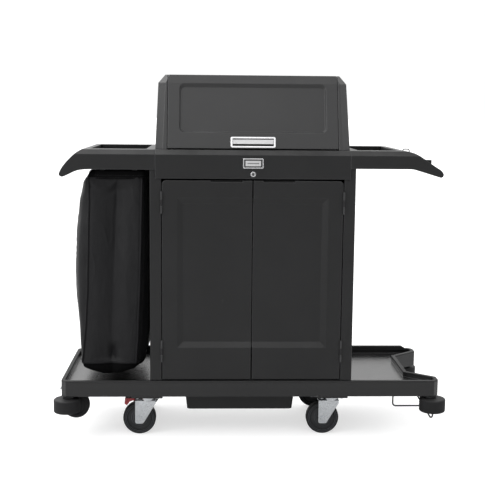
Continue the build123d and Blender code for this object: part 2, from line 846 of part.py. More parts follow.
def hood_form(inset):
    """Outer form of the hood, or the space inside it when inset by the skin."""
    low = 0 if inset == 0 else -5
    lean = hood_slope * low / hood_shoulder
    foot = hood_ring(
        work_z + low, hood_half - inset - hood_lean_side * low / hood_shoulder,
        hood_y0 + inset + lean, hood_y1 - inset, hood_corner,
    )
    neck = hood_ring(
        shoulder_z - inset * 0.4, hood_half - hood_lean_side - inset,
        hood_y0 + hood_slope + inset, hood_y1 - inset, hood_corner,
    )
    crown = hood_ring(
        hood_top - inset, hood_half - hood_lean_side - shoulder_side - inset,
        hood_y0 + hood_slope + shoulder_front + inset, hood_y1 - inset, hood_corner * 0.6,
    )
    body = loft([foot, neck], ruled=True)
    cap = loft([neck, crown], ruled=True)
    return body + cap


hood_outer = hood_form(0)
hood_inner = hood_form(hood_skin)
hood_deep = hood_form(16)
hood_shell = hood_outer - hood_inner
hinge_y = hood_y1 - 11
hinge_z = hood_top - rod_knuckle
far = 2000.0

for side, name in ((-1, "left"), (1, "right")):
    lo, hi = sorted((side * (lid_half + lid_gap), side * far))
    end_skin = hood_shell & block(lo, hi, -far, far, work_z, far)
    # return flange beside the lid
    lo, hi = sorted((side * (lid_half + lid_gap), side * (lid_half + lid_gap + 3)))
    end_web = (hood_outer & block(lo, hi, -far, far, work_z, far)) - hood_deep
    with BuildPart() as hood_end:
        add(end_skin)
        add(end_web)
    save(hood_end.part, "hood_end_" + name)

lid_z0 = work_z + lid_foot
slope_angle = math.degrees(math.atan2(hood_slope, hood_shoulder))
up = (0, math.sin(math.radians(slope_angle)), math.cos(math.radians(slope_angle)))
out = (0, -math.cos(math.radians(slope_angle)), math.sin(math.radians(slope_angle)))
lid_y0 = hood_y0 + hood_slope * lid_foot / hood_shoulder
handle_at = (0, lid_y0 + handle_foot * up[1], lid_z0 + handle_foot * up[2])
handle_plane = Plane(origin=handle_at, x_dir=(1, 0, 0), z_dir=out)
slope_run = hood_shoulder / up[2]
lid_cut = block(-lid_half, lid_half, -far, hinge_y - rod_knuckle - 1, lid_z0, far)
knuckle_pitch = (2 * lid_half - 25) / 10
knuckle_run = knuckle_pitch - 2
knuckles = [-5 * knuckle_pitch + knuckle_pitch * i for i in range(10)]

# recessed front with a deeper upper bevel; the skin steps back behind it
face_plane = Plane(origin=(0, lid_y0, lid_z0), x_dir=(1, 0, 0), z_dir=out)
high = slope_run - lid_foot - 2
mid = (recess_low + high) / 2
with BuildSketch(face_plane.offset(6)) as backing:
    with Locations((0, mid)):
        RectangleRounded(2 * recess_half + 8, high - recess_low + 4, 20)
lid_space = hood_inner - extrude(backing.sketch, amount=-6 - hood_skin - recess_depth)

with BuildPart() as hood_lid:
    add((hood_outer & lid_cut) - lid_space)
    with BuildSketch(face_plane.offset(0.01)):
        with Locations((0, mid)):
            RectangleRounded(2 * recess_half, high - recess_low, 20)
    with BuildSketch(face_plane.offset(-recess_depth)):
        with Locations((0, mid - recess_bevel / 2)):
            RectangleRounded(
                2 * (recess_half - recess_bevel), high - recess_low - 3 * recess_bevel, 16
            )
    loft(ruled=True, mode=Mode.SUBTRACT)
    # window of the handle
    with BuildSketch(handle_plane.offset(5)):
        Rectangle(
            handle_width - 2 * handle_rim + 2 * cup_wall + 1,
            handle_height - 2 * handle_rim + 2 * cup_wall + 1,
        )
    extrude(amount=-30, mode=Mode.SUBTRACT)
    # hinge arms and knuckles
    for x in knuckles[0::2]:
        add(block(x, x + knuckle_run, hinge_y - rod_knuckle - 4, hinge_y, hinge_z + 1, hood_top))
        add(rod(rod_knuckle, (x, hinge_y, hinge_z), (x + knuckle_run, hinge_y, hinge_z)))
    add(
        rod(rod_diameter / 2 + pin_clearance, (-far, hinge_y, hinge_z), (far, hinge_y, hinge_z)),
        mode=Mode.SUBTRACT,
    )
save(hood_lid.part, "hood_lid")

with BuildPart() as hood_back:
    panel_top = hinge_z - rod_knuckle - 1
    add(block(-lid_half, lid_half, hinge_y - 2, hinge_y + 3, work_z, panel_top))
    for x in knuckles[1::2]:
        add(block(x, x + knuckle_run, hinge_y - 2, hinge_y + 3, panel_top - 1, hinge_z))
        add(rod(rod_knuckle, (x, hinge_y, hinge_z), (x + knuckle_run, hinge_y, hinge_z)))
    add(rod(rod_diameter / 2, (-far, hinge_y, hinge_z), (far, hinge_y, hinge_z)), mode=Mode.SUBTRACT)
save(hood_back.part, "hood_back")

with BuildPart() as hood_rod:
    add(rod(rod_diameter / 2, (-lid_half + 2, hinge_y, hinge_z), (lid_half - 2, hinge_y, hinge_z)))
save(hood_rod.part, "hood_rod")

# ================= hood handle =================
win_w = handle_width - 2 * handle_rim
win_h = handle_height - 2 * handle_rim
with BuildPart() as handle_cup:
    with BuildSketch(handle_plane):
        RectangleRounded(handle_width, handle_height, 7)
        RectangleRounded(win_w, win_h, 3, mode=Mode.SUBTRACT)
    extrude(amount=5)
    fillet(handle_cup.faces().sort_by(Axis.Y)[0].outer_wire().edges(), 2)
    with BuildSketch(handle_plane):
        Rectangle(win_w + 2 * cup_wall, win_h + 2 * cup_wall)
    extrude(amount=-cup_depth)
    with BuildSketch(handle_plane.offset(6)):
        Rectangle(win_w, win_h)
    extrude(amount=-6 - cup_depth + cup_wall, mode=Mode.SUBTRACT)
    # pivot holes of the paddle
    for x in (-1, 1):
        with BuildSketch(
            Plane(
                origin=handle_plane.from_local_coords((x * (win_w / 2 - 1), win_h / 2 - 5, -3)),
                z_dir=(x, 0, 0),
            ),
        ):
            Circle(2 + pin_clearance)
        extrude(amount=3, mode=Mode.SUBTRACT)
save(handle_cup.part, "handle_cup")

pivot = handle_plane.from_local_coords((0, win_h / 2 - 5, -3))
with BuildPart() as latch_paddle:
    with BuildSketch(handle_plane.offset(-3 - paddle_thickness / 2)):
        with Locations((0, (paddle_gap - paddle_play) / 2)):
            RectangleRounded(win_w - 2, win_h - paddle_gap - paddle_play, 2)
    extrude(amount=paddle_thickness)
    add(rod(2, (-win_w / 2 - 1.4, pivot.Y, pivot.Z), (win_w / 2 + 1.4, pivot.Y, pivot.Z)))
save(latch_paddle.part, "latch_paddle")

# ================= end trays =================
tray_depth = deck_depth
tray_x = top_half + 0.8
left_under = work_z - left_band
right_under = work_z - right_band


def tray_outline(side, shrink):
    """Front outline of an end tray; shrink moves every face inward."""
    s = side
    t = shrink
    if s < 0:
        band, straight, reach, drop = left_band, left_straight, left_reach, left_drop
    else:
        band, straight, reach, drop = right_band, right_straight, right_reach, right_drop
    x0 = s * (tray_x + t)
    z1 = work_z - t
    with BuildSketch(Plane.XZ.offset(-(front_y + t))) as face:
        with BuildLine():
            if s < 0:
                Line((x0, z1), (s * (top_half + straight) + t * 0.4, z1))
                Spline(
                    (s * (top_half + straight) + t * 0.4, z1),
                    (s * (top_half + 0.89 * reach) + t * 0.8, z1 - 0.37 * drop),
                    (s * (top_half + reach) + t, work_z - 0.96 * drop),
                    tangents=((-1, -0.45), (-0.35, -1)),
                )
                Spline(
                    (s * (top_half + reach) + t, work_z - 0.96 * drop),
                    (s * (top_half + reach - 6) + t, work_z - 1.07 * drop + t),
                    (s * (top_half + reach - 24), work_z - 1.04 * drop + t),
                    tangents=((-0.2, -1), (1, 0.45)),
                )
                Spline(
                    (s * (top_half + reach - 24), work_z - 1.04 * drop + t),
                    (s * (top_half + reach - 62), work_z - band - 6 + t),
                    (s * (top_half + straight - 22), work_z - band + t),
                    tangents=((1, 0.45), (1, 0.05)),
                )
                Line((s * (top_half + straight - 22), work_z - band + t), (x0, work_z - band + t))
            else:
                Line((x0, z1), (s * (top_half + straight) - t * 0.2, z1))
                Spline(
                    (s * (top_half + straight) - t * 0.2, z1),
                    (s * (top_half + straight + 66) - t * 0.5, z1 - 0.26 * drop),
                    (s * (top_half + straight + 123) - t * 0.6, z1 - 0.70 * drop),
                    (s * (top_half + reach) - t, work_z - 0.97 * drop),
                    tangents=((1, 0), (0.3, -1)),
                )
                Spline(
                    (s * (top_half + reach) - t, work_z - 0.97 * drop),
                    (s * (top_half + reach - 6) - t, work_z - 1.10 * drop + t),
                    (s * (top_half + reach - 22), work_z - 1.07 * drop + t),
                    tangents=((0.1, -1), (-1, 0.3)),
                )
                Spline(
                    (s * (top_half + reach - 22), work_z - 1.07 * drop + t),
                    (s * (top_half + straight + 66), work_z - band - 9 + t),
                    (s * (top_half + straight + 20), work_z - band + t),
                    tangents=((-1, 0.3), (-1, 0)),
                )
                Line((s * (top_half + straight + 20), work_z - band + t), (x0, work_z - band + t))
            Line((x0, work_z - band + t), (x0, z1))
        make_face()
    return face.sketch


def tray_body(side, shrink):
    outline_face = tray_outline(side, shrink)
    solid = extrude(outline_face, amount=-(tray_depth - 2 * shrink))
    # front and back upper edges are planed to a slanted strip
    for y_side in (-1, 1):
        wedge_plane = Plane.YZ.offset(-1000)
        with BuildSketch(wedge_plane) as wedge:
            with BuildLine():
                y_edge = y_side * (half_depth - shrink)
                c = tray_bevel
                Polyline(
                    (y_edge + y_side, work_z - shrink - c - 1),
                    (y_edge + y_side, work_z + 50),
                    (y_edge - y_side * c, work_z + 50),
                    (y_edge - y_side * c, work_z - shrink),
                    (y_edge, work_z - shrink - c),
                    close=True,
                )
            make_face()
        lo, hi = sorted((side * tray_x, side * (top_half + 150)))
        cut = extrude(wedge.sketch, amount=2000)
        solid = solid - cut
    return solid


ring_in = tray_x + ring_side
ring_out = tray_x + left_straight - 22
ring_y0 = front_y + ring_front
ring_y1 = half_depth - ring_back
hoop_x0 = -(ring_out - 10)
hoop_x1 = -(ring_in + 4)
hoop_y0 = ring_y0 - 20
hoop_y1 = ring_y1 + 14
hoop_z = left_under - hoop_drop
hoop_r = hoop_wire / 2

left_form = tray_body(-1, 0)
left_space = tray_body(-1, tray_skin)
with BuildPart() as tray_left:
    add(left_form)
    hollow = left_space + block(
        -(top_half + left_straight - 30), -(tray_x + tray_ledge), front_y + tray_skin, half_depth - tray_skin,
        left_under - 1, left_under + tray_skin + 1,
    )
    w = tray_skin
    ring = block(-(ring_out + w), -(ring_in - w), ring_y0 - w, ring_y1 + w, left_under - 2, work_z + 1)
    ledge = block(-(tray_x + tray_ledge), 0, -far, far, left_under - 2, work_z + 1)
    add(hollow - ring - ledge, mode=Mode.SUBTRACT)
    with BuildSketch(Plane.XY.offset(left_under - 2)):
        with Locations((-(ring_out + ring_in) / 2, (ring_y0 + ring_y1) / 2)):
            RectangleRounded(ring_out - ring_in, ring_y1 - ring_y0, 8)
    extrude(amount=left_band + 4, mode=Mode.SUBTRACT)
    # ears that carry the hoop
    for x in (hoop_x0 + 30, hoop_x1 - 30 - ear_size):
        for y0, y1 in ((hoop_y0 - hoop_r, hoop_y0 + 9), (hoop_y1 - 9, hoop_y1 + hoop_r)):
            add(block(x, x + ear_size, y0, y1, hoop_z - hoop_r - 3, left_under + 6))
        add(block(x, x + ear_size, hoop_y0 - hoop_r, ring_y0 - 1, left_under, left_under + 6))
        add(block(x, x + ear_size, ring_y1 + 1, hoop_y1 + hoop_r, left_under, left_under + 6))
    for y in (hoop_y0, hoop_y1):
        add(rod(hoop_r + 0.1, (hoop_x0 + 15, y, hoop_z), (hoop_x1 - 15, y, hoop_z)), mode=Mode.SUBTRACT)
save(tray_left.part, "tray_left")

pan_x0 = tray_x + ring_side
pan_x1 = tray_x + right_straight - 10
right_form = tray_body(1, 0)
right_space = tray_body(1, tray_skin)
with BuildPart() as tray_right:
    add(right_form)
    hollow = right_space + block(
        tray_x + tray_ledge, top_half + right_straight + 10, front_y + tray_skin, half_depth - tray_skin,
        right_under - 1, right_under + tray_skin + 1,
    )
    w = tray_skin
    pan_z = work_z - pan_depth
    pan = block(pan_x0 - w, pan_x1 + w, ring_y0 - w, ring_y1 + w, pan_z - w, work_z + 1)
    ledge = block(0, tray_x + tray_ledge, -far, far, right_under - 2, work_z + 1)
    add(hollow - pan - ledge, mode=Mode.SUBTRACT)
    with BuildSketch(Plane.XY.offset(pan_z)):
        with Locations(((pan_x0 + pan_x1) / 2, (ring_y0 + ring_y1) / 2)):
            RectangleRounded(pan_x1 - pan_x0, ring_y1 - ring_y0, 8)
    extrude(amount=pan_depth + 2, mode=Mode.SUBTRACT)
    # small tool block on the sloping end
    block_x = top_half + right_reach - 60
    block_y = front_y + 100
    add(
        block(
            block_x,
            block_x + 36,
            block_y,
            block_y + 30,
            work_z - right_drop + 14,
            work_z - 0.42 * right_drop,
        ),
    )
    # seats of the wire clip
    clip_x = (top_half + right_straight + 42, top_half + right_straight + 68)
    for x in clip_x:
        add(rod(2.1, (x, 0, work_z - right_band), (x, 0, work_z + 1)), mode=Mode.SUBTRACT)
save(tray_right.part, "tray_right")

with BuildPart() as tray_clip:
    with BuildLine() as clip_path:
        z0 = work_z - 32
        z1 = work_z - 2
        FilletPolyline(
            (clip_x[0], 0, z0),
            (clip_x[0], 0, z1),
            (clip_x[1], 0, z1),
            (clip_x[1], 0, z0),
            radius=8,
        )
    with BuildSketch(Plane(origin=(clip_x[0], 0, z0), z_dir=(0, 0, 1))):
        Circle(2)
    sweep(path=clip_path.wires()[0])
save(tray_clip.part, "tray_clip")

# ================= bag =================
with BuildPart() as bag_hoop:
    with BuildLine() as hoop_path:
        mid_y = (hoop_y0 + hoop_y1) / 2
        FilletPolyline(
            (hoop_x1, mid_y, hoop_z),
            (hoop_x1, hoop_y1, hoop_z),
            (hoop_x0, hoop_y1, hoop_z),
            (hoop_x0, hoop_y0, hoop_z),
            (hoop_x1, hoop_y0, hoop_z),
            (hoop_x1, mid_y - 0.2, hoop_z),
            radius=14,
        )
    with BuildSketch(Plane(origin=(hoop_x1, mid_y, hoop_z), z_dir=(0, 1, 0))):
        Circle(hoop_r)
    sweep(path=hoop_path.wires()[0])
save(bag_hoop.part, "bag_hoop")

bag_top = left_under - 4
bag_z0 = floor_z + bag_foot
grow = hoop_r + bag_gap + bag_wall
bag_drop = bag_top - bag_z0
# height, then how far the left, right, front and back walls stand out
levels = (
    (bag_top, 0.0, 0.0, 0.0, 0.0),
    (bag_top - 40, 0.20 * bag_bulge, 0.0, 2.0, 2.0),
    (bag_top - 0.17 * bag_drop, 0.62 * bag_bulge, -2.0, 6.0, 6.0),
    (bag_top - 0.33 * bag_drop, 0.86 * bag_bulge, -4.0, 10.0, 10.0),
    (bag_top - 0.52 * bag_drop, bag_bulge, -6.0, 12.0, 12.0),
    (bag_top - 0.80 * bag_drop, 0.93 * bag_bulge, -8.0, 8.0, 8.0),
    (bag_z0 + 32, 0.80 * bag_bulge, -8.0, 2.0, 2.0),
    (bag_z0, 0.60 * bag_bulge, -12.0, -10.0, -10.0),
)


def bag_section(z, left, right, front, back, inner):
    x0 = hoop_x0 - grow - left + inner
    x1 = hoop_x1 + grow + right - inner
    y0 = hoop_y0 - grow - front + inner
    y1 = hoop_y1 + grow + back - inner
    with BuildSketch(Plane.XY.offset(z)) as section:
        with Locations(((x0 + x1) / 2, (y0 + y1) / 2)):
            RectangleRounded(x1 - x0, y1 - y0, 22 - inner)
    return section.sketch


with BuildPart() as bag:
    outer_rings = [bag_section(*level, 0) for level in levels]
    inner_rings = [bag_section(*level, bag_wall) for level in levels]
    inner_rings[0] = bag_section(bag_top + 1, 0, 0, 0, 0, bag_wall)
    inner_rings[-1] = bag_section(bag_z0 + bag_wall, *levels[-1][1:], bag_wall)
    for lower, upper in zip(outer_rings[1:], outer_rings[:-1]):
        add(loft([lower, upper], ruled=True, mode=Mode.PRIVATE))
    for lower, upper in zip(inner_rings[1:], inner_rings[:-1]):
        add(loft([lower, upper], ruled=True, mode=Mode.PRIVATE), mode=Mode.SUBTRACT)
save(bag.part, "bag")

# ================= wire holder =================
wire_r = wire_diameter / 2
rack_x = half_length - notch_depth - rack_leg
rack_z = under_z - rack_low
with BuildPart() as wire_rack:
    with BuildLine() as rack_path:
        FilletPolyline(
            (rack_x, -rack_half, under_z - 2),
            (rack_x, -rack_half, rack_z),
            (rack_x + rack_run, -rack_half, rack_z),
            (rack_x + rack_run, rack_half, rack_z),
            (rack_x, rack_half, rack_z),
            (rack_x, rack_half, under_z - 2),
            radius=wire_bend,
        )
    with BuildSketch(Plane(origin=(rack_x, -rack_half, under_z - 2), z_dir=(0, 0, -1))):
        Circle(wire_r)
    sweep(path=rack_path.wires()[0])
save(wire_rack.part, "wire_rack")

with BuildPart() as wire_hook:
    with BuildLine() as hook_path:
        FilletPolyline(
            (hook_x, -hook_half - 11, hook_z),
            (hook_x, -hook_half, hook_z),
            (hook_x + hook_reach, -hook_half, hook_z - hook_fall),
            (hook_x + hook_reach + 6, -hook_half, hook_z - hook_fall + hook_rise),
            (hook_x + hook_reach + 6, hook_half, hook_z - hook_fall + hook_rise),
            (hook_x + hook_reach, hook_half, hook_z - hook_fall),
            (hook_x, hook_half, hook_z),
            (hook_x, hook_half + 11, hook_z),
            radius=5,
        )
    with BuildSketch(Plane(origin=(hook_x, -hook_half - 11, hook_z), z_dir=(0, 1, 0))):
        Circle(wire_r)
    sweep(path=hook_path.wires()[0])
save(wire_hook.part, "wire_hook")

with BuildPart() as wire_brackets:
    t = bracket_thickness
    for side in (-1, 1):
        add(
            block(
                rack_x - 10,
                rack_x + 10,
                side * rack_half - 10,
                side * rack_half + 10,
                under_z - 16,
                under_z,
            ),
        )
        lo, hi = sorted((side * (hook_half + 6), side * (hook_half + 6 + t)))
        add(block(hook_x - 9, hook_x + 9, lo, hi, hook_z - 9, under_z))
    for side in (-1, 1):
        y = side * rack_half
        add(
            rod(wire_r + pin_clearance, (rack_x, y, under_z - 17), (rack_x, y, under_z - 1)),
            mode=Mode.SUBTRACT,
        )
    add(
        rod(wire_r + pin_clearance, (hook_x, -hook_half - 20, hook_z), (hook_x, hook_half + 20, hook_z)),
        mode=Mode.SUBTRACT,
    )
save(wire_brackets.part, "wire_brackets")
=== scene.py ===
"""Housekeeping cart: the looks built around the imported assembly.

The file is laid out as an add-on with one operator for each group of
pieces and one for the stage, and it also runs as a plain script.
"""

import math

import bmesh
import bpy
from mathutils import Matrix, Vector, noise


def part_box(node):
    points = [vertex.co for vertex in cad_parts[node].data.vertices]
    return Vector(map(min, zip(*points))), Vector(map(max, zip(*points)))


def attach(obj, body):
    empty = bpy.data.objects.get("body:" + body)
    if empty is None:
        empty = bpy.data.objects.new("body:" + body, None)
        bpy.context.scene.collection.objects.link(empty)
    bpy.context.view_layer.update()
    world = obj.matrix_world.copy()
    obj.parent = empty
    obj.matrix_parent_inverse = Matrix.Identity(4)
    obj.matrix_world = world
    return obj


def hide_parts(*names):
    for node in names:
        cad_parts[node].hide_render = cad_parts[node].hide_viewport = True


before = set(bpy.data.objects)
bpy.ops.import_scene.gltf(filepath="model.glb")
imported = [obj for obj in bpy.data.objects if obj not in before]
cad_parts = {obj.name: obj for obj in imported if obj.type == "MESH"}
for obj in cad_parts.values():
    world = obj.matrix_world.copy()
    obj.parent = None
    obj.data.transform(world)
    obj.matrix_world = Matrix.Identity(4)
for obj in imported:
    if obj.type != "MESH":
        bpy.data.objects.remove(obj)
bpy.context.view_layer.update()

bl_info = {
    "name": "Housekeeping Cart",
    "version": (1, 0, 0),
    "blender": (4, 5, 0),
    "location": "View3D > Sidebar > Cart",
    "description": "Builds the finishes, the fabric bag and the stage of a housekeeping cart",
    "category": "Object",
}

HOOP_LOW, HOOP_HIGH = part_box("bag_hoop")
BAG_LOW, BAG_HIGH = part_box("bag")
SPOTS = ("front_left", "front_right", "back_left", "back_right")


# ---------------------------------------------------------------- settings
def colour_setting(name, description, default):
    """A colour."""
    return bpy.props.FloatVectorProperty(
        name=name, description=description, subtype="COLOR", size=3, min=0.0, max=1.0, default=default
    )


def factor_setting(name, description, default):
    """A share from none to all."""
    return bpy.props.FloatProperty(
        name=name, description=description, subtype="FACTOR", min=0.0, max=1.0, default=default
    )


def length_setting(name, description, low, high, default):
    """A length in metres."""
    return bpy.props.FloatProperty(
        name=name, description=description, unit="LENGTH", min=low, max=high, default=default
    )


def angle_setting(name, description, degrees):
    """An angle, given here in degrees."""
    return bpy.props.FloatProperty(
        name=name, description=description, subtype="ANGLE", default=math.radians(degrees)
    )


class CartPlasticSettings(bpy.types.PropertyGroup):
    """Colours and texture of the moulded plastic pieces"""

    charcoal: colour_setting(
        "Charcoal", "Colour of the cabinet, deck, worktop and trays", (0.0092, 0.0093, 0.0098)
    )
    # painted light: the hood is given a paler colour than the charcoal, for the light that its leaning front
    # catches
    hood: colour_setting("Hood", "Colour of the hood and its lid", (0.0145, 0.0147, 0.0154))
    # painted highlight: this paler colour goes on the edges, partly as wear and partly as a painted
    # highlight on the rounded edges
    edge_rub_and_highlight_tone: colour_setting(
        "Edge rub and highlight", "Colour that the plastic takes where its edges are rubbed", (0.085, 0.086, 0.09)
    )
    grain_size: length_setting("Grain size", "Width of one cell of the moulded grain", 0.0005, 0.02, 0.0021)
    edge_radius: length_setting(
        "Edge radius", "How far the rounding and the rubbing reach from an edge", 0.0005, 0.01, 0.0042
    )
    # how much of the paler edge colour shows, wear and painted highlight together
    rub_and_highlight_share: factor_setting("Rub and highlight", "How much of the edge colour shows", 0.75)
    hood_lean: angle_setting("Hood lean", "How far the front of the hood leans back", 18.29)
    dust: factor_setting("Dust", "How much pale dust lies on faces that look up", 0.12)


class CartMetalSettings(bpy.types.PropertyGroup):
    """Colours of the plated and painted metal, and of the rubber"""

    zinc: colour_setting("Zinc", "Colour of the zinc plated casters and bolts", (0.62, 0.64, 0.66))
    chrome: colour_setting(
        "Chrome", "Colour of the handle, the lock and the label frame", (0.66, 0.66, 0.67)
    )
    brake: colour_setting("Brake lever", "Colour of the brake lever", (0.36, 0.010, 0.017))
    rubber: colour_setting("Rubber", "Colour of the bumpers and tyres", (0.0065, 0.0065, 0.007))


class CartFabricSettings(bpy.types.PropertyGroup):
    """Cut and cloth of the bag"""

    cloth: colour_setting("Cloth", "Colour of the bag's coated cloth", (0.0058, 0.0058, 0.0064))
    thread: length_setting(
        "Thread pitch", "Distance from one thread of the weave to the next", 0.0003, 0.01, 0.0016
    )
    columns: bpy.props.IntProperty(
        name="Columns",
        description="Mesh columns round the bag",
        min=64,
        max=480,
        default=288,
    )
    rows: bpy.props.IntProperty(
        name="Rows",
        description="Mesh rows down the bag's wall",
        min=40,
        max=320,
        default=144,
    )
    cuff: length_setting("Cuff depth", "How far the cuff hangs below the hoop", 0.01, 0.08, 0.027)
    stitch: length_setting("Stitch length", "Length of one stitch", 0.002, 0.012, 0.0042)


class CartStageSettings(bpy.types.PropertyGroup):
    """Camera, lights and floor"""

    camera_place: bpy.props.FloatVectorProperty(
        name="Camera",
        description="Where the camera stands",
        subtype="XYZ",
        unit="LENGTH",
        size=3,
        default=(-0.1597, -3.7976, 1.2471),
    )
    pitch: angle_setting("Pitch", "How far the camera looks down", 7.953)
    yaw: angle_setting("Yaw", "How far the camera turns to the right", 1.986)
    roll: angle_setting("Roll", "How far the camera leans", 0.499)
    lens: bpy.props.FloatProperty(
        name="Lens",
        description="Focal length in millimetres on a sensor 36 mm wide",
        min=10.0,
        max=300.0,
        default=72.33,
    )
    floor_tone: factor_setting("Floor tone", "How pale the floor is", 0.52)
    floor_glow: bpy.props.FloatProperty(
        name="Floor glow",
        description="Light that the floor adds by itself, which softens the shadows",
        min=0.0,
        max=1.0,
        default=0.60,
    )


# ---------------------------------------------------------------- node helpers
class Board:
    """A node tree that is filled from left to right."""

    def __init__(self, tree):
        self.tree = tree
        self.placed = 0

    def put(self, kind, settings=None, **inputs):
        """Adds a node, sets its options and its sockets, and returns it."""
        node = self.tree.nodes.new("ShaderNode" + kind)
        node.location = (200 * (self.placed % 9) - 900, -230 * (self.placed // 9))
        self.placed += 1
        for key, value in (settings or {}).items():
            setattr(node, key, value)
        for key, value in inputs.items():
            self.set(node, key.replace("_", " "), value)
        return node

    def set(self, node, key, value):
        """Joins a socket to an output, or gives it a plain value."""
        socket = node.inputs[key]
        if isinstance(value, bpy.types.NodeSocket):
            self.tree.links.new(value, socket)
        elif hasattr(value, "__len__") and socket.type == "RGBA" and len(value) == 3:
            socket.default_value = (*value, 1.0)
        else:
            socket.default_value = value

    def sum(self, operation, *values, clamp=False):
        """A Math node's output."""
        node = self.put("Math", {"operation": operation, "use_clamp": clamp})
        for index, value in enumerate(values):
            self.set(node, index, value)
        return node.outputs[0]

    def spread(self, value, low, high, start=0.0, end=1.0):
        """Maps low..high to start..end and clamps it."""
        node = self.put("MapRange", {"clamp": True})
        for key, number in (
            ("Value", value),
            ("From Min", low),
            ("From Max", high),
            ("To Min", start),
            ("To Max", end),
        ):
            self.set(node, key, number)
        return node.outputs["Result"]

    def blend(self, factor, first, second):
        """Mixes two colours."""
        node = self.put("Mix", {"data_type": "RGBA"})
        self.set(node, 0, factor)
        self.set(node, 6, first)
        self.set(node, 7, second)
        return node.outputs[2]

    def noise(self, coordinates, scale, detail=3.0, roughness=0.5, distortion=0.0):
        """A Noise texture's value."""
        node = self.put("TexNoise", Vector=coordinates, Scale=scale, Detail=detail)
        node.inputs["Roughness"].default_value = roughness
        node.inputs["Distortion"].default_value = distortion
        return node.outputs["Fac"]

    def stretch(self, coordinates, scale):
        """Scales coordinates along each axis."""
        node = self.put("VectorMath", {"operation": "MULTIPLY"})
        self.set(node, 0, coordinates)
        self.set(node, 1, scale)
        return node.outputs[0]


def new_group(name, inputs, outputs):
    """A shader group with named sockets: (name, kind, default)."""
    tree = bpy.data.node_groups.new(name, "ShaderNodeTree")
    for label, kind, default in inputs:
        socket = tree.interface.new_socket(label, in_out="INPUT", socket_type="NodeSocket" + kind)
        if default is not None:
            socket.default_value = default
    for label, kind in outputs:
        tree.interface.new_socket(label, in_out="OUTPUT", socket_type="NodeSocket" + kind)
    board = Board(tree)
    given = tree.nodes.new("NodeGroupInput")
    given.location = (-1150, 0)
    result = tree.nodes.new("NodeGroupOutput")
    result.location = (1100, 0)
    return board, given.outputs, result.inputs


def join(board, pairs):
    """Joins outputs to the group's own outputs."""
    for source, target in pairs:
        board.tree.links.new(source, target)


def moulded_grain():
    """Fine leathery cells of a textured mould, with slow changes of tone."""
    board, given, result = new_group(
        "Moulded Grain",
        [("Coordinates", "Vector", None), ("Cell Size", "Float", 0.002), ("Softness", "Float", 0.5)],
        [("Height", "Float"), ("Tone", "Float"), ("Flow", "Float")],
    )
    scale = board.sum("DIVIDE", 1.0, given["Cell Size"])
    bent = board.put("TexNoise", Vector=given["Coordinates"], Scale=scale, Detail=1.0)
    mixed = board.put("VectorMath", {"operation": "MULTIPLY_ADD"})
    board.set(mixed, 0, bent.outputs["Color"])
    board.set(mixed, 1, (0.0012, 0.0012, 0.0012))
    board.set(mixed, 2, given["Coordinates"])
    cells = board.put("TexVoronoi", {"feature": "DISTANCE_TO_EDGE"}, Vector=mixed.outputs[0])
    board.set(cells, "Scale", scale)
    edges = board.spread(cells.outputs["Distance"], 0.0, 0.32)
    fine = board.noise(given["Coordinates"], board.sum("MULTIPLY", scale, 2.6), 2.0)
    height = board.put("Mix", {"data_type": "FLOAT"})
    board.set(height, 0, given["Softness"])
    board.set(height, 2, edges)
    board.set(height, 3, fine)
    tone = board.noise(given["Coordinates"], 5.5, 4.0, 0.55)
    flow = board.noise(board.stretch(given["Coordinates"], (1.0, 1.0, 0.35)), 2.1, 2.0, 0.5, 0.6)
    join(board, [(height.outputs[0], result["Height"]), (tone, result["Tone"]), (flow, result["Flow"])])
    return board.tree


def edge_rub_and_highlight():
    """A mask of the edges, for wear and a painted edge highlight, and the normal of a softly rounded edge.
    """
    board, given, result = new_group(
        "Edge Rub And Highlight",
        [("Coordinates", "Vector", None), ("Radius", "Float", 0.003), ("Unevenness", "Float", 0.5)],
        [("Mask", "Float"), ("Normal", "Vector")],
    )
    rounded = board.put("Bevel", {"samples": 6}, Radius=given["Radius"])
    true = board.put("NewGeometry")
    dot = board.put("VectorMath", {"operation": "DOT_PRODUCT"})
    board.set(dot, 0, rounded.outputs[0])
    board.set(dot, 1, true.outputs["Normal"])
    turned = board.spread(dot.outputs["Value"], 0.995, 0.80)
    patches = board.spread(board.noise(given["Coordinates"], 34.0, 4.0, 0.65), 0.32, 0.68)
    softened = board.put("Mix", {"data_type": "FLOAT"})
    board.set(softened, 0, given["Unevenness"])
    board.set(softened, 2, 1.0)
    board.set(softened, 3, patches)
    mask = board.sum("MULTIPLY", turned, softened.outputs[0], clamp=True)
    join(board, [(mask, result["Mask"]), (rounded.outputs[0], result["Normal"])])
    return board.tree


def settled_dust():
    """Pale dust that lies on faces that look up, thicker in patches."""
    board, given, result = new_group(
        "Settled Dust",
        [("Coordinates", "Vector", None), ("Amount", "Float", 0.3)],
        [("Mask", "Float")],
    )
    true = board.put("NewGeometry")
    parts = board.put("SeparateXYZ", Vector=true.outputs["Normal"])
    up = board.spread(parts.outputs["Z"], 0.35, 0.98)
    clouds = board.spread(board.noise(given["Coordinates"], 11.0, 5.0, 0.62), 0.36, 0.72)
    specks = board.spread(board.noise(given["Coordinates"], 420.0, 2.0), 0.55, 0.74)
    both = board.sum("ADD", clouds, board.sum("MULTIPLY", specks, 0.5))
    mask = board.sum("MULTIPLY", board.sum("MULTIPLY", up, both), given["Amount"], clamp=True)
    join(board, [(mask, result["Mask"])])
    return board.tree


def long_scuffs():
    """Sparse fine scratches that run along the axis with the smallest stretch."""
    board, given, result = new_group(
        "Long Scuffs",
        [("Coordinates", "Vector", None), ("Stretch", "Vector", (1.0, 1.0, 1.0)), ("Rarity", "Float", 0.66)],
        [("Mask", "Float"), ("Streak", "Float")],
    )
    drawn = board.stretch(given["Coordinates"], given["Stretch"])
    lines = board.noise(drawn, 60.0, 4.0, 0.6, 0.3)
    low = given["Rarity"]
    mask = board.spread(lines, low, board.sum("ADD", low, 0.06))
    join(board, [(mask, result["Mask"]), (lines, result["Streak"])])
    return board.tree


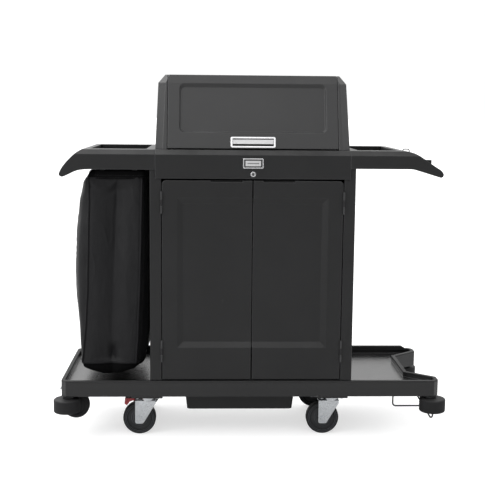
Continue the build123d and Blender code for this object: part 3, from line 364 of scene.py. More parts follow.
def plain_weave():
    """Over and under of a plain weave, from coordinates in metres."""
    board, given, result = new_group(
        "Plain Weave",
        [("Coordinates", "Vector", None), ("Pitch", "Float", 0.0016)],
        [("Height", "Float"), ("Tone", "Float")],
    )
    parts = board.put("SeparateXYZ", Vector=given["Coordinates"])
    turns = board.sum("DIVIDE", math.pi, given["Pitch"])
    across = board.sum("SINE", board.sum("MULTIPLY", parts.outputs["X"], turns))
    down = board.sum("SINE", board.sum("MULTIPLY", parts.outputs["Y"], turns))
    crossing = board.sum("MULTIPLY", across, down)
    height = board.spread(crossing, -1.0, 1.0)
    slub = board.noise(board.stretch(given["Coordinates"], (260.0, 22.0, 1.0)), 1.0, 3.0)
    tone = board.sum("ADD", board.sum("MULTIPLY", height, 0.35), board.sum("MULTIPLY", slub, 0.65))
    join(board, [(height, result["Height"]), (tone, result["Tone"])])
    return board.tree


GROUP_MAKERS = {
    "grain": moulded_grain,
    "rub_and_highlight": edge_rub_and_highlight,
    "dust": settled_dust,
    "scuffs": long_scuffs,
    "weave": plain_weave,
}
GROUPS = {}


class Finish:
    """A material with its Principled shader and the shared effects."""

    def __init__(self, name, shader):
        self.material = bpy.data.materials.new(name)
        self.material.use_nodes = True
        tree = self.material.node_tree
        tree.nodes.clear()
        self.board = Board(tree)
        self.shader = self.board.put("BsdfPrincipled")
        self.shader.location = (1100, 0)
        output = tree.nodes.new("ShaderNodeOutputMaterial")
        output.location = (1400, 0)
        tree.links.new(self.shader.outputs[0], output.inputs[0])
        for key, value in shader.items():
            self.board.set(self.shader, key, value)
        self.place = self.board.put("TexCoord").outputs["Object"]

    def effect(self, key, **inputs):
        """Places a shared group with this finish's own values."""
        tree = GROUPS.get(key) or GROUPS.setdefault(key, GROUP_MAKERS[key]())
        node = self.board.put("Group", {"node_tree": tree}, Coordinates=self.place)
        for name, value in inputs.items():
            self.board.set(node, name.replace("_", " "), value)
        return node.outputs

    def bump(self, height, distance, strength=1.0, normal=None):
        """Raises the surface by a height, in metres."""
        node = self.board.put("Bump", Height=height, Distance=distance, Strength=strength)
        if normal is not None:
            self.board.set(node, "Normal", normal)
        self.board.set(self.shader, "Normal", node.outputs[0])

    def feed(self, **inputs):
        """Joins outputs to the shader's sockets."""
        for name, value in inputs.items():
            self.board.set(self.shader, name.replace("_", " "), value)


def scaled(colour, share):
    """A colour made darker or paler."""
    return tuple(min(1.0, share * part) for part in colour)


def moulded_plastic(name, colour, shown, roughness=0.46, rub_and_highlight=1.0, dust=1.0, level=0.36, worn_below=None):
    """Textured black plastic with paler edges (wear and a painted highlight) and a little dust, worn smooth
    below a height, with a painted shade above it.
    """
    finish = Finish(name, {"Specular IOR Level": level, "IOR": 1.5})
    board = finish.board
    grain = finish.effect("grain", Cell_Size=shown.grain_size, Softness=0.45)
    edge = finish.effect("rub_and_highlight", Radius=shown.edge_radius, Unevenness=0.35)
    film = finish.effect("dust", Amount=shown.dust * dust)
    scuffs = finish.effect("scuffs", Stretch=(1.0, 1.0, 0.25), Rarity=0.745)
    body = board.blend(board.spread(grain["Tone"], 0.3, 0.7), scaled(colour, 0.78), colour)
    body = board.blend(board.sum("MULTIPLY", scuffs["Mask"], 0.12), body, (0.10, 0.10, 0.105))
    rub_and_highlight_mask = board.sum("MULTIPLY", edge["Mask"], shown.rub_and_highlight_share * rub_and_highlight)
    # paler edges: partly wear, partly a painted highlight
    body = board.blend(rub_and_highlight_mask, body, tuple(shown.edge_rub_and_highlight_tone))
    body = board.blend(film["Mask"], body, (0.20, 0.20, 0.195))
    gloss = board.spread(grain["Flow"], 0.25, 0.75, roughness - 0.05, roughness + 0.06)
    gloss = board.sum("ADD", gloss, board.sum("MULTIPLY", film["Mask"], 0.35), clamp=True)
    if worn_below is not None:
        # above this height the deck is rougher and its colour darker: painted shade on the rim
        height = board.put("SeparateXYZ", Vector=finish.place).outputs["Z"]
        rim_texture_and_shade = board.spread(height, worn_below, worn_below + 0.006)
        gloss = board.sum("ADD", gloss, board.sum("MULTIPLY", rim_texture_and_shade, 0.48), clamp=True)
        body = board.blend(board.sum("MULTIPLY", rim_texture_and_shade, 0.5), body, scaled(colour, 0.4))
    finish.feed(Base_Color=body, Roughness=gloss)
    finish.bump(grain["Height"], 0.00022, 0.55, edge["Normal"])
    return finish.material


def plated_steel(name, colour, roughness, stretch, radius=0.0016, mottle=0.9, well=None):
    """Plated metal with fine drawn streaks and darker spots, and a painted shade (black) deep in a well.

    well is a direction and a reach along it: what lies short of the reach gets the painted shade.
    """
    finish = Finish(name, {"Metallic": 1.0, "Specular IOR Level": 0.5})
    board = finish.board
    streaks = finish.effect("scuffs", Stretch=stretch, Rarity=0.64)
    edge = finish.effect("rub_and_highlight", Radius=radius, Unevenness=0.2)
    spots = board.noise(finish.place, 95.0, 5.0, 0.6)
    dull = scaled(colour, mottle)
    body = board.blend(board.spread(spots, 0.38, 0.66), dull, colour)
    body = board.blend(board.sum("MULTIPLY", streaks["Mask"], 0.25), body, dull)
    gloss = board.spread(streaks["Streak"], 0.3, 0.7, roughness - 0.06, roughness + 0.10)
    if well is not None:
        facing, level = well
        reach = board.put("VectorMath", {"operation": "DOT_PRODUCT"})
        board.set(reach, 0, finish.place)
        board.set(reach, 1, facing)
        # painted shade: black where the cup lies behind the lid's front, down in the recess
        well_shade = board.spread(reach.outputs["Value"], level - 0.0012, level - 0.0035)
        body = board.blend(well_shade, body, (0.008, 0.008, 0.009))
        gloss = board.sum("MAXIMUM", gloss, board.sum("MULTIPLY", well_shade, 0.7))
    finish.feed(Base_Color=body, Roughness=gloss)
    finish.bump(streaks["Streak"], 0.00006, 0.35, edge["Normal"])
    return finish.material


def dull_rubber(name, colour, shown, roughness=0.62):
    """Matte rubber with a faint bloom, and paler edges that are partly wear and partly a painted highlight.
    """
    finish = Finish(name, {"Specular IOR Level": 0.24})
    board = finish.board
    grain = finish.effect("grain", Cell_Size=0.0013, Softness=0.75)
    edge = finish.effect("rub_and_highlight", Radius=shown.edge_radius * 0.8, Unevenness=0.5)
    film = finish.effect("dust", Amount=0.12)
    body = board.blend(board.spread(grain["Tone"], 0.35, 0.75), colour, scaled(colour, 2.1))
    # paler edges: partly wear, partly a painted highlight
    body = board.blend(board.sum("MULTIPLY", edge["Mask"], 0.30), body, (0.075, 0.075, 0.078))
    body = board.blend(film["Mask"], body, (0.09, 0.09, 0.088))
    gloss = board.spread(grain["Flow"], 0.3, 0.7, roughness - 0.08, roughness + 0.1)
    finish.feed(Base_Color=body, Roughness=gloss)
    finish.bump(grain["Height"], 0.00018, 0.5, edge["Normal"])
    return finish.material


def satin_paint(name, colour):
    """Thin black paint on steel with chipped edges."""
    finish = Finish(name, {"Coat Weight": 0.12, "Coat Roughness": 0.3})
    board = finish.board
    edge = finish.effect("rub_and_highlight", Radius=0.0014, Unevenness=0.8)
    grain = finish.effect("grain", Cell_Size=0.0012, Softness=0.9)
    chips = board.spread(edge["Mask"], 0.55, 0.9)
    body = board.blend(board.spread(grain["Tone"], 0.3, 0.7), colour, scaled(colour, 1.5))
    body = board.blend(board.sum("MULTIPLY", chips, 0.6), body, (0.33, 0.33, 0.34))
    finish.feed(
        Base_Color=body,
        Roughness=board.spread(grain["Flow"], 0.3, 0.7, 0.34, 0.46),
        Metallic=board.sum("MULTIPLY", chips, 0.5),
    )
    finish.bump(grain["Height"], 0.0001, 0.35, edge["Normal"])
    return finish.material


def hard_gloss(name, colour, roughness, coat, radius=0.002):
    """Smooth moulded plastic with a light skin of wear, and paler edges that are partly wear and partly a
    painted highlight.
    """
    finish = Finish(name, {"Coat Weight": coat, "Coat Roughness": 0.18})
    board = finish.board
    grain = finish.effect("grain", Cell_Size=0.0016, Softness=0.9)
    edge = finish.effect("rub_and_highlight", Radius=radius, Unevenness=0.5)
    pale = tuple(min(1.0, 1.35 * part + 0.02) for part in colour)
    body = board.blend(board.spread(grain["Tone"], 0.35, 0.7), colour, scaled(colour, 0.8))
    # paler edges: partly wear, partly a painted highlight
    body = board.blend(board.sum("MULTIPLY", edge["Mask"], 0.4), body, pale)
    gloss = board.spread(grain["Flow"], 0.3, 0.7, roughness - 0.05, roughness + 0.08)
    finish.feed(Base_Color=body, Roughness=gloss)
    finish.bump(grain["Height"], 0.0001, 0.3, edge["Normal"])
    return finish.material


def printed_card(name, colour, box):
    """A pale card with a painted shade in the groove round its edge and one plain dark bar, without
    lettering.
    """
    finish = Finish(name, {"Specular IOR Level": 0.4, "Coat Weight": 0.2, "Coat Roughness": 0.15})
    board = finish.board
    low, high = box
    parts = board.put("SeparateXYZ", Vector=finish.place)
    spans = []
    for axis, first, last in (("X", low.x, high.x), ("Z", low.z, high.z)):
        away = board.sum("ABSOLUTE", board.sum("SUBTRACT", parts.outputs[axis], (first + last) / 2))
        spans.append((away, (last - first) / 2))
    (side, wide), (rise, tall) = spans
    # painted shade in the groove round the card's edge; the bump sinks the same band
    groove_and_shade = board.sum(
        "MAXIMUM",
        board.spread(side, wide - 0.0050, wide - 0.0042),
        board.spread(rise, tall - 0.0042, tall - 0.0034),
    )
    bar = board.sum(
        "MULTIPLY",
        board.spread(side, wide * 0.66, wide * 0.64),
        board.spread(rise, 0.0021, 0.0017),
    )
    paper = board.blend(board.noise(finish.place, 160.0, 3.0), colour, scaled(colour, 0.86))
    paper = board.blend(bar, paper, scaled(colour, 0.30))
    paper = board.blend(groove_and_shade, paper, (0.012, 0.012, 0.0125))
    gloss = board.spread(board.noise(finish.place, 90.0, 3.0), 0.3, 0.7, 0.36, 0.48)
    finish.feed(Base_Color=paper, Roughness=gloss)
    finish.bump(groove_and_shade, -0.0004, 0.5)
    return finish.material


def coated_cloth(name, colour, pitch, level=0.2, roughness=0.56):
    """Black woven cloth with a coating, read from the piece's own map in metres."""
    finish = Finish(name, {"Specular IOR Level": level, "Sheen Weight": 0.03, "Sheen Roughness": 0.45})
    board = finish.board
    cut = board.put("UVMap", {"uv_map": "Cut"}).outputs[0]
    weave = finish.effect("weave", Coordinates=cut, Pitch=pitch)
    film = finish.effect("dust", Amount=0.10)
    crumple = board.noise(board.stretch(cut, (1.0, 0.45, 1.0)), 26.0, 5.0, 0.6, 0.4)
    body = board.blend(board.spread(weave["Tone"], 0.2, 0.8), colour, scaled(colour, 1.9))
    body = board.blend(film["Mask"], body, scaled(colour, 8.0))
    gloss = board.spread(crumple, 0.3, 0.7, roughness - 0.07, roughness + 0.10)
    finish.feed(Base_Color=body, Roughness=gloss)
    threads = board.sum("MULTIPLY", weave["Height"], 0.22)
    height = board.sum("ADD", threads, board.sum("MULTIPLY", crumple, 2.4))
    finish.bump(height, 0.0012, 0.5)
    return finish.material


# ---------------------------------------------------------------- mesh helpers
def dress(nodes, material):
    """Gives CAD nodes one finish."""
    for name in nodes:
        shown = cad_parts[name]
        if shown.data.materials:
            for index in range(len(shown.data.materials)):
                shown.data.materials[index] = material
        else:
            shown.data.materials.append(material)


def new_piece(name, mesh, material, body):
    """Links a mesh as a piece that rides a body."""
    piece = bpy.data.objects.new(name, mesh)
    bpy.context.scene.collection.objects.link(piece)
    mesh.materials.append(material)
    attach(piece, body)
    return piece


def smooth_mesh(name, build, outward=False):
    """Turns a bmesh into a smooth mesh, with its faces made to look outward if asked."""
    if outward:
        bmesh.ops.recalc_face_normals(build, faces=build.faces)
    mesh = bpy.data.meshes.new(name)
    build.to_mesh(mesh)
    build.free()
    mesh.polygons.foreach_set("use_smooth", [True] * len(mesh.polygons))
    return mesh


def along(knots, value):
    """A smooth value read between (place, value) knots, places rising."""
    if value <= knots[0][0]:
        return knots[0][1]
    for (a, low), (b, high) in zip(knots, knots[1:]):
        if value <= b:
            part = (value - a) / (b - a)
            part = part * part * (3 - 2 * part) * 0.5 + part * 0.5
            return low + (high - low) * part
    return knots[-1][1]


def tube_ring_mesh(name, path, section):
    """Sweeps a section of (out, up) round a closed, level path.

    path is a list of (x, y, z, outward x, outward y). The map named Cut is
    in metres, along the path and round the section.
    """
    build = bmesh.new()
    rings = []
    for x, y, z, out_x, out_y in path:
        rings.append([build.verts.new((x + out_x * o, y + out_y * o, z + u)) for o, u in section])
    lengths = [0.0]
    for first, second in zip(path, path[1:]):
        lengths.append(lengths[-1] + math.dist(first[:3], second[:3]))
    rings.append(rings[0])
    lengths.append(lengths[-1] + math.dist(path[-1][:3], path[0][:3]))
    round_it = [0.0]
    for first, second in zip(section, section[1:]):
        round_it.append(round_it[-1] + math.dist(first, second))
    cut = build.loops.layers.uv.new("Cut")
    for i in range(len(rings) - 1):
        for j in range(len(section) - 1):
            corners = (rings[i][j], rings[i + 1][j], rings[i + 1][j + 1], rings[i][j + 1])
            spots = ((i, j), (i + 1, j), (i + 1, j + 1), (i, j + 1))
            face = build.faces.new(corners)
            for loop, (a, b) in zip(face.loops, spots):
                loop[cut].uv = (lengths[a], round_it[b])
    return smooth_mesh(name, build, outward=True)


def rounded_loop(x0, x1, y0, y1, radius, z, step=0.012):
    """Points round a rounded rectangle with their outward directions."""
    points = []
    corners = (
        (x1 - radius, y0 + radius, -90),
        (x1 - radius, y1 - radius, 0),
        (x0 + radius, y1 - radius, 90),
        (x0 + radius, y0 + radius, 180),
    )
    for index, (cx, cy, start) in enumerate(corners):
        for k in range(7):
            angle = math.radians(start + 15 * k)
            dx, dy = math.cos(angle), math.sin(angle)
            points.append((cx + radius * dx, cy + radius * dy, z, dx, dy))
        nx, ny, following = corners[(index + 1) % 4]
        angle = math.radians(start + 90)
        dx, dy = math.cos(angle), math.sin(angle)
        ax, ay = cx + radius * dx, cy + radius * dy
        bx, by = nx + radius * dx, ny + radius * dy
        count = max(1, int(math.dist((ax, ay), (bx, by)) / step))
        for k in range(1, count):
            part = k / count
            points.append((ax + (bx - ax) * part, ay + (by - ay) * part, z, dx, dy))
    return points


# ---------------------------------------------------------------- the bag's shape
SEAM_TOP = HOOP_LOW.z - 0.017  # just above the cuff's edge
WALL_END = BAG_LOW.z + 0.041  # where the base is sewn on
BASE_SAG = 0.051  # how far the base hangs below that
CLOTH_THICK = 0.0014
HOOP_CORNER = 0.018  # radius of the hoop's corners
TAPE_HALF, TAPE_DEPTH = 0.0016, 0.0068  # a seam tape's half width and how far it stands out

# Each table gives a place on the bag for rising heights: (height, place), in metres.
# Two front seams and the crease between them: x.
LEFT_SEAM = (
    (0.290, -0.631), (0.337, -0.625), (0.452, -0.614), (0.592, -0.606), (0.768, -0.602),
    (0.902, -0.598), (1.010, -0.599),
)
RIGHT_SEAM = (
    (0.299, -0.434), (0.415, -0.427), (0.593, -0.419), (0.792, -0.414), (0.990, -0.409),
    (1.010, -0.403),
)
CREASE = (
    (0.300, -0.525), (0.374, -0.523), (0.594, -0.515), (0.789, -0.507), (0.985, -0.499),
)
# How far out the two gussets belly: x. Then the front and the back: y.
LEFT_SIDE = (
    (0.262, -0.645), (0.384, -0.655), (0.525, -0.667), (0.630, -0.669), (0.763, -0.664),
    (0.881, -0.652), (0.960, -0.634), (1.006, -0.606),
)
RIGHT_SIDE = (
    (0.296, -0.405), (0.380, -0.393), (0.505, -0.388), (0.700, -0.386), (0.983, -0.386),
    (1.006, -0.391),
)
FRONT = (
    (0.250, -0.212), (0.330, -0.219), (0.620, -0.226), (0.900, -0.219), (1.006, -0.2135),
)
BACK = (
    (0.250, 0.222), (0.330, 0.229), (0.620, 0.236), (0.900, 0.229), (1.006, 0.2235),
)
# Depth of the left gusset's fold and of the valley in the front.
FOLD_DEPTH = (
    (0.300, 0.016), (0.430, 0.030), (0.620, 0.036), (0.770, 0.034), (0.900, 0.020), (0.975, 0.006),
)
VALLEY = (
    (0.288, 0.009), (0.310, 0.022), (0.335, 0.022), (0.375, 0.013), (0.560, 0.015), (0.780, 0.027),
    (0.940, 0.026), (0.985, 0.008), (1.006, 0.0),
)


def bump_at(value, middle, width):
    """A soft bump of height one round middle."""
    return math.exp(-(((value - middle) / width) ** 2))


def bag_point(share, z):
    """A point of the bag's wall: share 0..1 runs round it from the front left seam."""
    left, right = along(LEFT_SEAM, z), along(RIGHT_SEAM, z)
    front, back = along(FRONT, z), along(BACK, z)
    outer_left, outer_right = along(LEFT_SIDE, z), along(RIGHT_SIDE, z)
    hang = min(1.0, max(0.0, (1.0 - z) / 0.09))
    panel, part = int(share * 4) % 4, share * 4 % 1.0
    if panel == 0:
        # front: two soft fields with a valley between them
        x = left + (right - left) * part
        crease = along(CREASE, z) + 0.0025 * noise.noise(Vector((0, 0, z * 14)))
        half = crease - left if x < crease else right - crease
        near = 1.0 - min(1.0, abs(x - crease) / half)
        y = front + along(VALLEY, z) * near ** 1.5
        y -= 0.0055 * hang * math.sin(math.pi * near) ** 1.5
        # swag below the cuff of the left field
        middle = (left + crease) / 2
        droop = 0.944 + 0.034 * ((x - middle) / half * 2) ** 2
        if x < crease:
            y -= 0.0042 * bump_at(z, droop, 0.012)
            y += 0.0030 * bump_at(z, droop - 0.026, 0.014)
        # pinched corner at the bottom of the valley
        y += 0.012 * bump_at(x, crease + 0.004, 0.010) * bump_at(z, 0.325, 0.030)
        round_off = 0.006 * (math.exp(-((x - left) / 0.006)) + math.exp(-((right - x) / 0.006)))
        y += round_off * 0.6
    elif panel == 1:
        # right gusset, with a shallow fold half way back
        y = front + (back - front) * part
        flare = min(1.0, math.sin(math.pi * part) * 2.6)
        x = right + (outer_right - right) * flare
        x -= 0.012 * hang * bump_at(part, 0.5, 0.07)
        x -= 0.007 * hang * bump_at(part, 0.09, 0.035)
    elif panel == 2:
        # back, with its own valley
        x = right + (left - right) * part
        near = 1.0 - min(1.0, abs(part - 0.5) / 0.5)
        y = back - along(VALLEY, z) * 0.8 * near ** 2.2
        y += 0.004 * hang * math.sin(math.pi * near) ** 1.5
    else:
        # left gusset: bellied, with a sharp fold just behind the front seam
        y = back + (front - back) * part
        flare = 1.0 - abs(2 * part - 1.0) ** 4.6
        wander = 0.016 * noise.noise(Vector((3, 1, z * 7.5)))
        place = 0.925 + wander
        # the strip between the fold and the seam stays nearly flat
        strip = min(1.0, max(0.0, (part - place) / 0.016 + 0.5))
        x = left + (outer_left - left) * flare * (1.0 - 0.66 * strip)
        depth = along(FOLD_DEPTH, z) * (1.0 + 0.5 * noise.noise(Vector((5, 2, z * 13))))
        x += depth * math.exp(-abs(part - place) / 0.013)
        x += 0.011 * hang * bump_at(part, 0.44 + wander, 0.05)
        x += 0.006 * hang * bump_at(part, 0.13 - wander, 0.03)
    return x, y


def crumple(x, y, z, hang):
    """How far hanging cloth wanders from its plain shape."""
    place = Vector((x * 16, y * 16, z * 4.2))
    slow = noise.noise(place) * 0.0034
    place = Vector((x * 38 + 7, y * 38, z * 11))
    quick = noise.noise(place) * 0.0014
    ridge = 1.0 - abs(noise.noise(Vector((x * 21 + 3, y * 21, z * 6 + 9)))) * 2
    return (slow + quick + 0.0014 * max(0.0, ridge) ** 6) * hang


def bag_mesh(cloth):
    """The bag's wall and its sagging base as one sheet."""
    columns, rows = cloth.columns, cloth.rows
    build = bmesh.new()
    cut = build.loops.layers.uv.new("Cut")
    top = HOOP_HIGH.z - 0.004
    shares = []
    for k in range(columns):
        panel, part = divmod(k * 4 / columns, 1.0)
        # columns gather towards the seams and folds
        part = part - 0.055 * math.sin(2 * math.pi * part)
        shares.append((panel + part) / 4)
    rings, spots = [], []
    for row in range(rows + 1):
        z = top + (WALL_END - top) * row / rows
        hang = min(1.0, max(0.0, (top - z) / 0.08))
        ring, spot = [], []
        plain = [bag_point(share, z) for share in shares]
        length = 0.0
        for k, (x, y) in enumerate(plain):
            before, after = plain[k - 1], plain[(k + 1) % columns]
            side = Vector((after[1] - before[1], before[0] - after[0]))
            side.normalize()
            move = crumple(x, y, z, hang)
            seam = abs((shares[k] * 4 + 0.5) % 1.0 - 0.5)
            move *= min(1.0, seam / 0.06)
            ring.append(build.verts.new((x + side.x * move, y + side.y * move, z)))
            spot.append((length, z))
            length += math.dist((x, y), after)
        rings.append(ring)
        spots.append((spot, length))
    # base: the cloth turns under at the hem and hangs lower in the middle
    base = (
        (0.998, -0.010),
        (0.992, -0.024),
        (0.980, -0.036),
        (0.955, -0.045),
        (0.90, -0.049),
        (0.75, -BASE_SAG),
        (0.50, -BASE_SAG),
        (0.22, -BASE_SAG),
    )
    last = [v.co.copy() for v in rings[-1]]
    centre = sum(last, Vector()) / columns
    half = max(corner.x for corner in last) - centre.x
    for share, drop in base:
        ring = []
        for k, corner in enumerate(last):
            x = centre.x + (corner.x - centre.x) * share
            y = centre.y + (corner.y - centre.y) * share
            lift = 0.0022 * noise.noise(Vector((x * 22, y * 22, 4)))
            side = min(1.0, max(0.0, (abs(corner.x - centre.x) / half - 0.22) / 0.78))
            corner_lift = -drop * 0.82 * side * share ** 3
            ring.append(build.verts.new((x, y, corner.z + drop + corner_lift + abs(lift) * (1 - share))))
        rings.append(ring)
        spot, length = spots[rows]
        level = WALL_END + drop - (1 - share) * 0.2
        spots.append(([(u, level) for u, _ in spot], length))
    for row in range(len(rings) - 1):
        for k in range(columns):
            follow = (k + 1) % columns
            upper, lower = rings[row], rings[row + 1]
            face = build.faces.new((upper[k], lower[k], lower[follow], upper[follow]))
            corners = ((row, k), (row + 1, k), (row + 1, k + 1), (row, k + 1))
            for loop, (r, c) in zip(face.loops, corners):
                spot, length = spots[r]
                u = length if c == columns else spot[c][0]
                loop[cut].uv = (u, spot[c % columns][1])
    middle = build.verts.new((centre.x, centre.y, WALL_END - BASE_SAG))
    for k in range(columns):
        face = build.faces.new((rings[-1][k], middle, rings[-1][(k + 1) % columns]))
        for loop in face.loops:
            loop[cut].uv = (loop.vert.co.x, loop.vert.co.y)
    return smooth_mesh("bag_cloth", build, outward=True)


def seam_line(share, low, high, count=70):
    """Points down one of the bag's seams with the way that the seam faces."""
    points = []
    for k in range(count + 1):
        z = high + (low - high) * k / count
        x, y = bag_point(share % 1.0, z)
        diagonal = 0.7071
        out_x = diagonal if share in (0.25, 0.5) else -diagonal
        out_y = diagonal if share in (0.5, 0.75) else -diagonal
        points.append((x, y, z, out_x, out_y))
    return points


def binding_mesh(name, share, low, high):
    """A folded tape that closes a seam and stands a little proud."""
    build = bmesh.new()
    cut = build.loops.layers.uv.new("Cut")
    rings = []
    half, depth = TAPE_HALF, TAPE_DEPTH
    section = (
        (-half, -0.002),
        (-half, depth * 0.7),
        (-half * 0.5, depth),
        (half * 0.5, depth),
        (half, depth * 0.7),
        (half, -0.002),
    )
    for x, y, z, out_x, out_y in seam_line(share, low, high):
        side_x, side_y = -out_y, out_x
        wave = 0.0007 * noise.noise(Vector((z * 30, share * 9, 0)))
        ring = []
        for across, out in section:
            across += wave
            place = (x + out_x * out + side_x * across, y + out_y * out + side_y * across, z)
            ring.append(build.verts.new(place))
        rings.append(ring)
    for upper, lower in zip(rings, rings[1:]):
        for j in range(len(section) - 1):
            face = build.faces.new((upper[j], lower[j], lower[j + 1], upper[j + 1]))
            for loop in face.loops:
                loop[cut].uv = (j * 0.003, loop.vert.co.z)
    build.faces.new(rings[0])
    build.faces.new(rings[-1])
    return smooth_mesh(name, build, outward=True)


def stitches_mesh(name, points, length, radius=0.0004):
    """Short rounded threads laid end to end along points."""
    build = bmesh.new()
    travelled, marks = 0.0, []
    pitch = length * 1.45  # a stitch and the gap after it
    for first, second in zip(points, points[1:]):
        a, b = Vector(first), Vector(second)
        span = (b - a).length
        while travelled <= span:
            marks.append((a.lerp(b, travelled / span), (b - a).normalized()))
            travelled += pitch
        travelled -= span
    for place, way in marks:
        turn = way.to_track_quat("Z", "Y").to_matrix().to_4x4()
        rings = []
        for part, thick in ((-0.5, 0.2), (-0.32, 1.0), (0.32, 1.0), (0.5, 0.2)):
            ring = []
            for k in range(6):
                angle = math.pi * k / 3
                across, up = math.cos(angle) * radius * thick, math.sin(angle) * radius * thick
                ring.append(build.verts.new(place + turn @ Vector((across, up, part * length))))
            rings.append(ring)
        for low, high in zip(rings, rings[1:]):
            for k in range(6):
                build.faces.new((low[k], low[(k + 1) % 6], high[(k + 1) % 6], high[k]))
        build.faces.new(list(reversed(rings[0])))
        build.faces.new(rings[-1])
    return smooth_mesh(name, build)


# ---------------------------------------------------------------- operators
class CART_OT_stage(bpy.types.Operator):
    """Sets up the camera, the soft lights and the pale floor"""

    bl_idname = "cart.stage"
    bl_label = "Stage"

    def execute(self, context):
        shown = context.scene.cart_stage
        camera = bpy.data.cameras.new("camera")
        camera.lens = shown.lens
        camera.sensor_width = 36.0
        camera.clip_end = 100.0
        eye = bpy.data.objects.new("camera", camera)
        context.scene.collection.objects.link(eye)
        turn = Matrix.Rotation(-shown.yaw, 4, "Z") @ Matrix.Rotation(math.pi / 2 - shown.pitch, 4, "X")
        turn = turn @ Matrix.Rotation(shown.roll, 4, "Z")
        eye.matrix_world = Matrix.Translation(shown.camera_place) @ turn
        context.scene.camera = eye

        view = context.scene.view_settings
        view.view_transform = "Standard"
        view.look = "None"

        self.sky(context)
        self.floor(context, shown)
        # name, place, aim, width, height, watts
        for row in (
            ("key_light", (-3.4, -2.0, 2.4), (0, 0, 0.7), 1.4, 2.4, 54),
            ("right_light", (3.4, -0.5, 1.5), (0, 0, 0.7), 0.8, 2.4, 12),
            ("top_light", (-1.3, 0.5, 3.8), (0, 0, 0.4), 2.6, 2.0, 20),
        ):
            self.lamp(context, *row)
        return {"FINISHED"}

    def lamp(self, context, name, place, aim, width, height, watts):
        light = bpy.data.lights.new(name, "AREA")
        light.shape = "RECTANGLE"
        light.size, light.size_y, light.energy = width, height, watts
        lamp = bpy.data.objects.new(name, light)
        context.scene.collection.objects.link(lamp)
        lamp.location = place
        lamp.rotation_euler = (Vector(aim) - Vector(place)).to_track_quat("-Z", "Y").to_euler()

    def sky(self, context):
        """White surround: bright behind, and in front only well above the horizon, more on the left."""
        world = bpy.data.worlds.new("surround")
        context.scene.world = world
        world.use_nodes = True
        tree = world.node_tree
        tree.nodes.clear()
        board = Board(tree)
        way = board.put("TexCoord").outputs["Generated"]
        parts = board.put("SeparateXYZ", Vector=way)
        behind = board.spread(parts.outputs["Y"], -0.2, 0.9, 0.0, 0.9)
        front = board.spread(parts.outputs["Z"], 0.22, 0.62, 0.14, 2.2)
        front = board.sum("MULTIPLY", front, board.spread(parts.outputs["X"], -0.6, 0.6, 1.2, 0.7))
        above = board.spread(parts.outputs["Z"], 0.78, 0.97, 0.0, 0.95)
        level = board.sum("ADD", behind, board.sum("SUBTRACT", front, above))
        seen = board.put("LightPath").outputs["Is Camera Ray"]
        strength = board.sum("MAXIMUM", seen, level)
        lit = board.put("Background", Color=(1.0, 1.0, 1.0), Strength=strength)
        output = tree.nodes.new("ShaderNodeOutputWorld")
        tree.links.new(lit.outputs[0], output.inputs[0])

    def floor(self, context, shown):
        build = bmesh.new()
        bmesh.ops.create_grid(build, x_segments=8, y_segments=8, size=300.0)
        mesh = bpy.data.meshes.new("floor")
        build.to_mesh(mesh)
        build.free()
        finish = Finish("pale floor", {"Specular IOR Level": 0.1, "Emission Color": (1.0, 1.0, 1.0)})
        board = finish.board
        # only the view gets the glow, so that the cart isn't lit from below by it
        seen = board.put("LightPath").outputs["Is Camera Ray"]
        finish.feed(Emission_Strength=board.sum("MULTIPLY", seen, shown.floor_glow))
        cloud = board.noise(finish.place, 0.8, 3.0)
        tone = shown.floor_tone
        colour = board.blend(cloud, (tone, tone, tone), (tone * 0.985, tone * 0.985, tone * 0.99))
        finish.feed(Base_Color=colour, Roughness=board.spread(cloud, 0.0, 1.0, 0.7, 0.8))
        mesh.materials.append(finish.material)
        floor = bpy.data.objects.new("floor", mesh)
        context.scene.collection.objects.link(floor)
        floor.location.z = -0.001


class CART_OT_mouldings(bpy.types.Operator):
    """Finishes the large moulded pieces: deck, cabinet, worktop, trays and bin"""

    bl_idname = "cart.mouldings"
    bl_label = "Mouldings"

    def execute(self, context):
        shown = context.scene.cart_plastic
        charcoal = tuple(shown.charcoal)
        body = moulded_plastic("charcoal mouldings", charcoal, shown)
        dress(("cabinet_side_left", "cabinet_side_right", "cabinet_back", "cabinet_sill"), body)
        dress(("worktop", "shelf_lower", "shelf_upper", "under_bin"), body)
        # the cabinet's walls stand on the deck's floor, and the rim rises above it
        worn_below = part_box("cabinet_side_left")[0].z + 0.012
        deck = moulded_plastic("deck moulding", charcoal, shown, 0.22, 0.6, 0.3, 0.44, worn_below)
        dress(("deck",), deck)
        dress(("tray_left", "tray_right"), moulded_plastic("tray moulding", charcoal, shown, 0.46, 1.1, 0.6))
        dress(("door_left", "door_right"), moulded_plastic("door moulding", charcoal, shown, 0.45, 0.55))
        return {"FINISHED"}


class CART_OT_hood(bpy.types.Operator):
    """Finishes the hood with its lid"""

    bl_idname = "cart.hood"
    bl_label = "Hood"

    def execute(self, context):
        shown = context.scene.cart_plastic
        # painted light: the hood's colour is paler than the charcoal
        shell = moulded_plastic("hood moulding", tuple(shown.hood), shown, 0.42, 0.8, 0.8, 0.5)
        dress(("hood_end_left", "hood_end_right", "hood_back", "hood_lid"), shell)
        return {"FINISHED"}


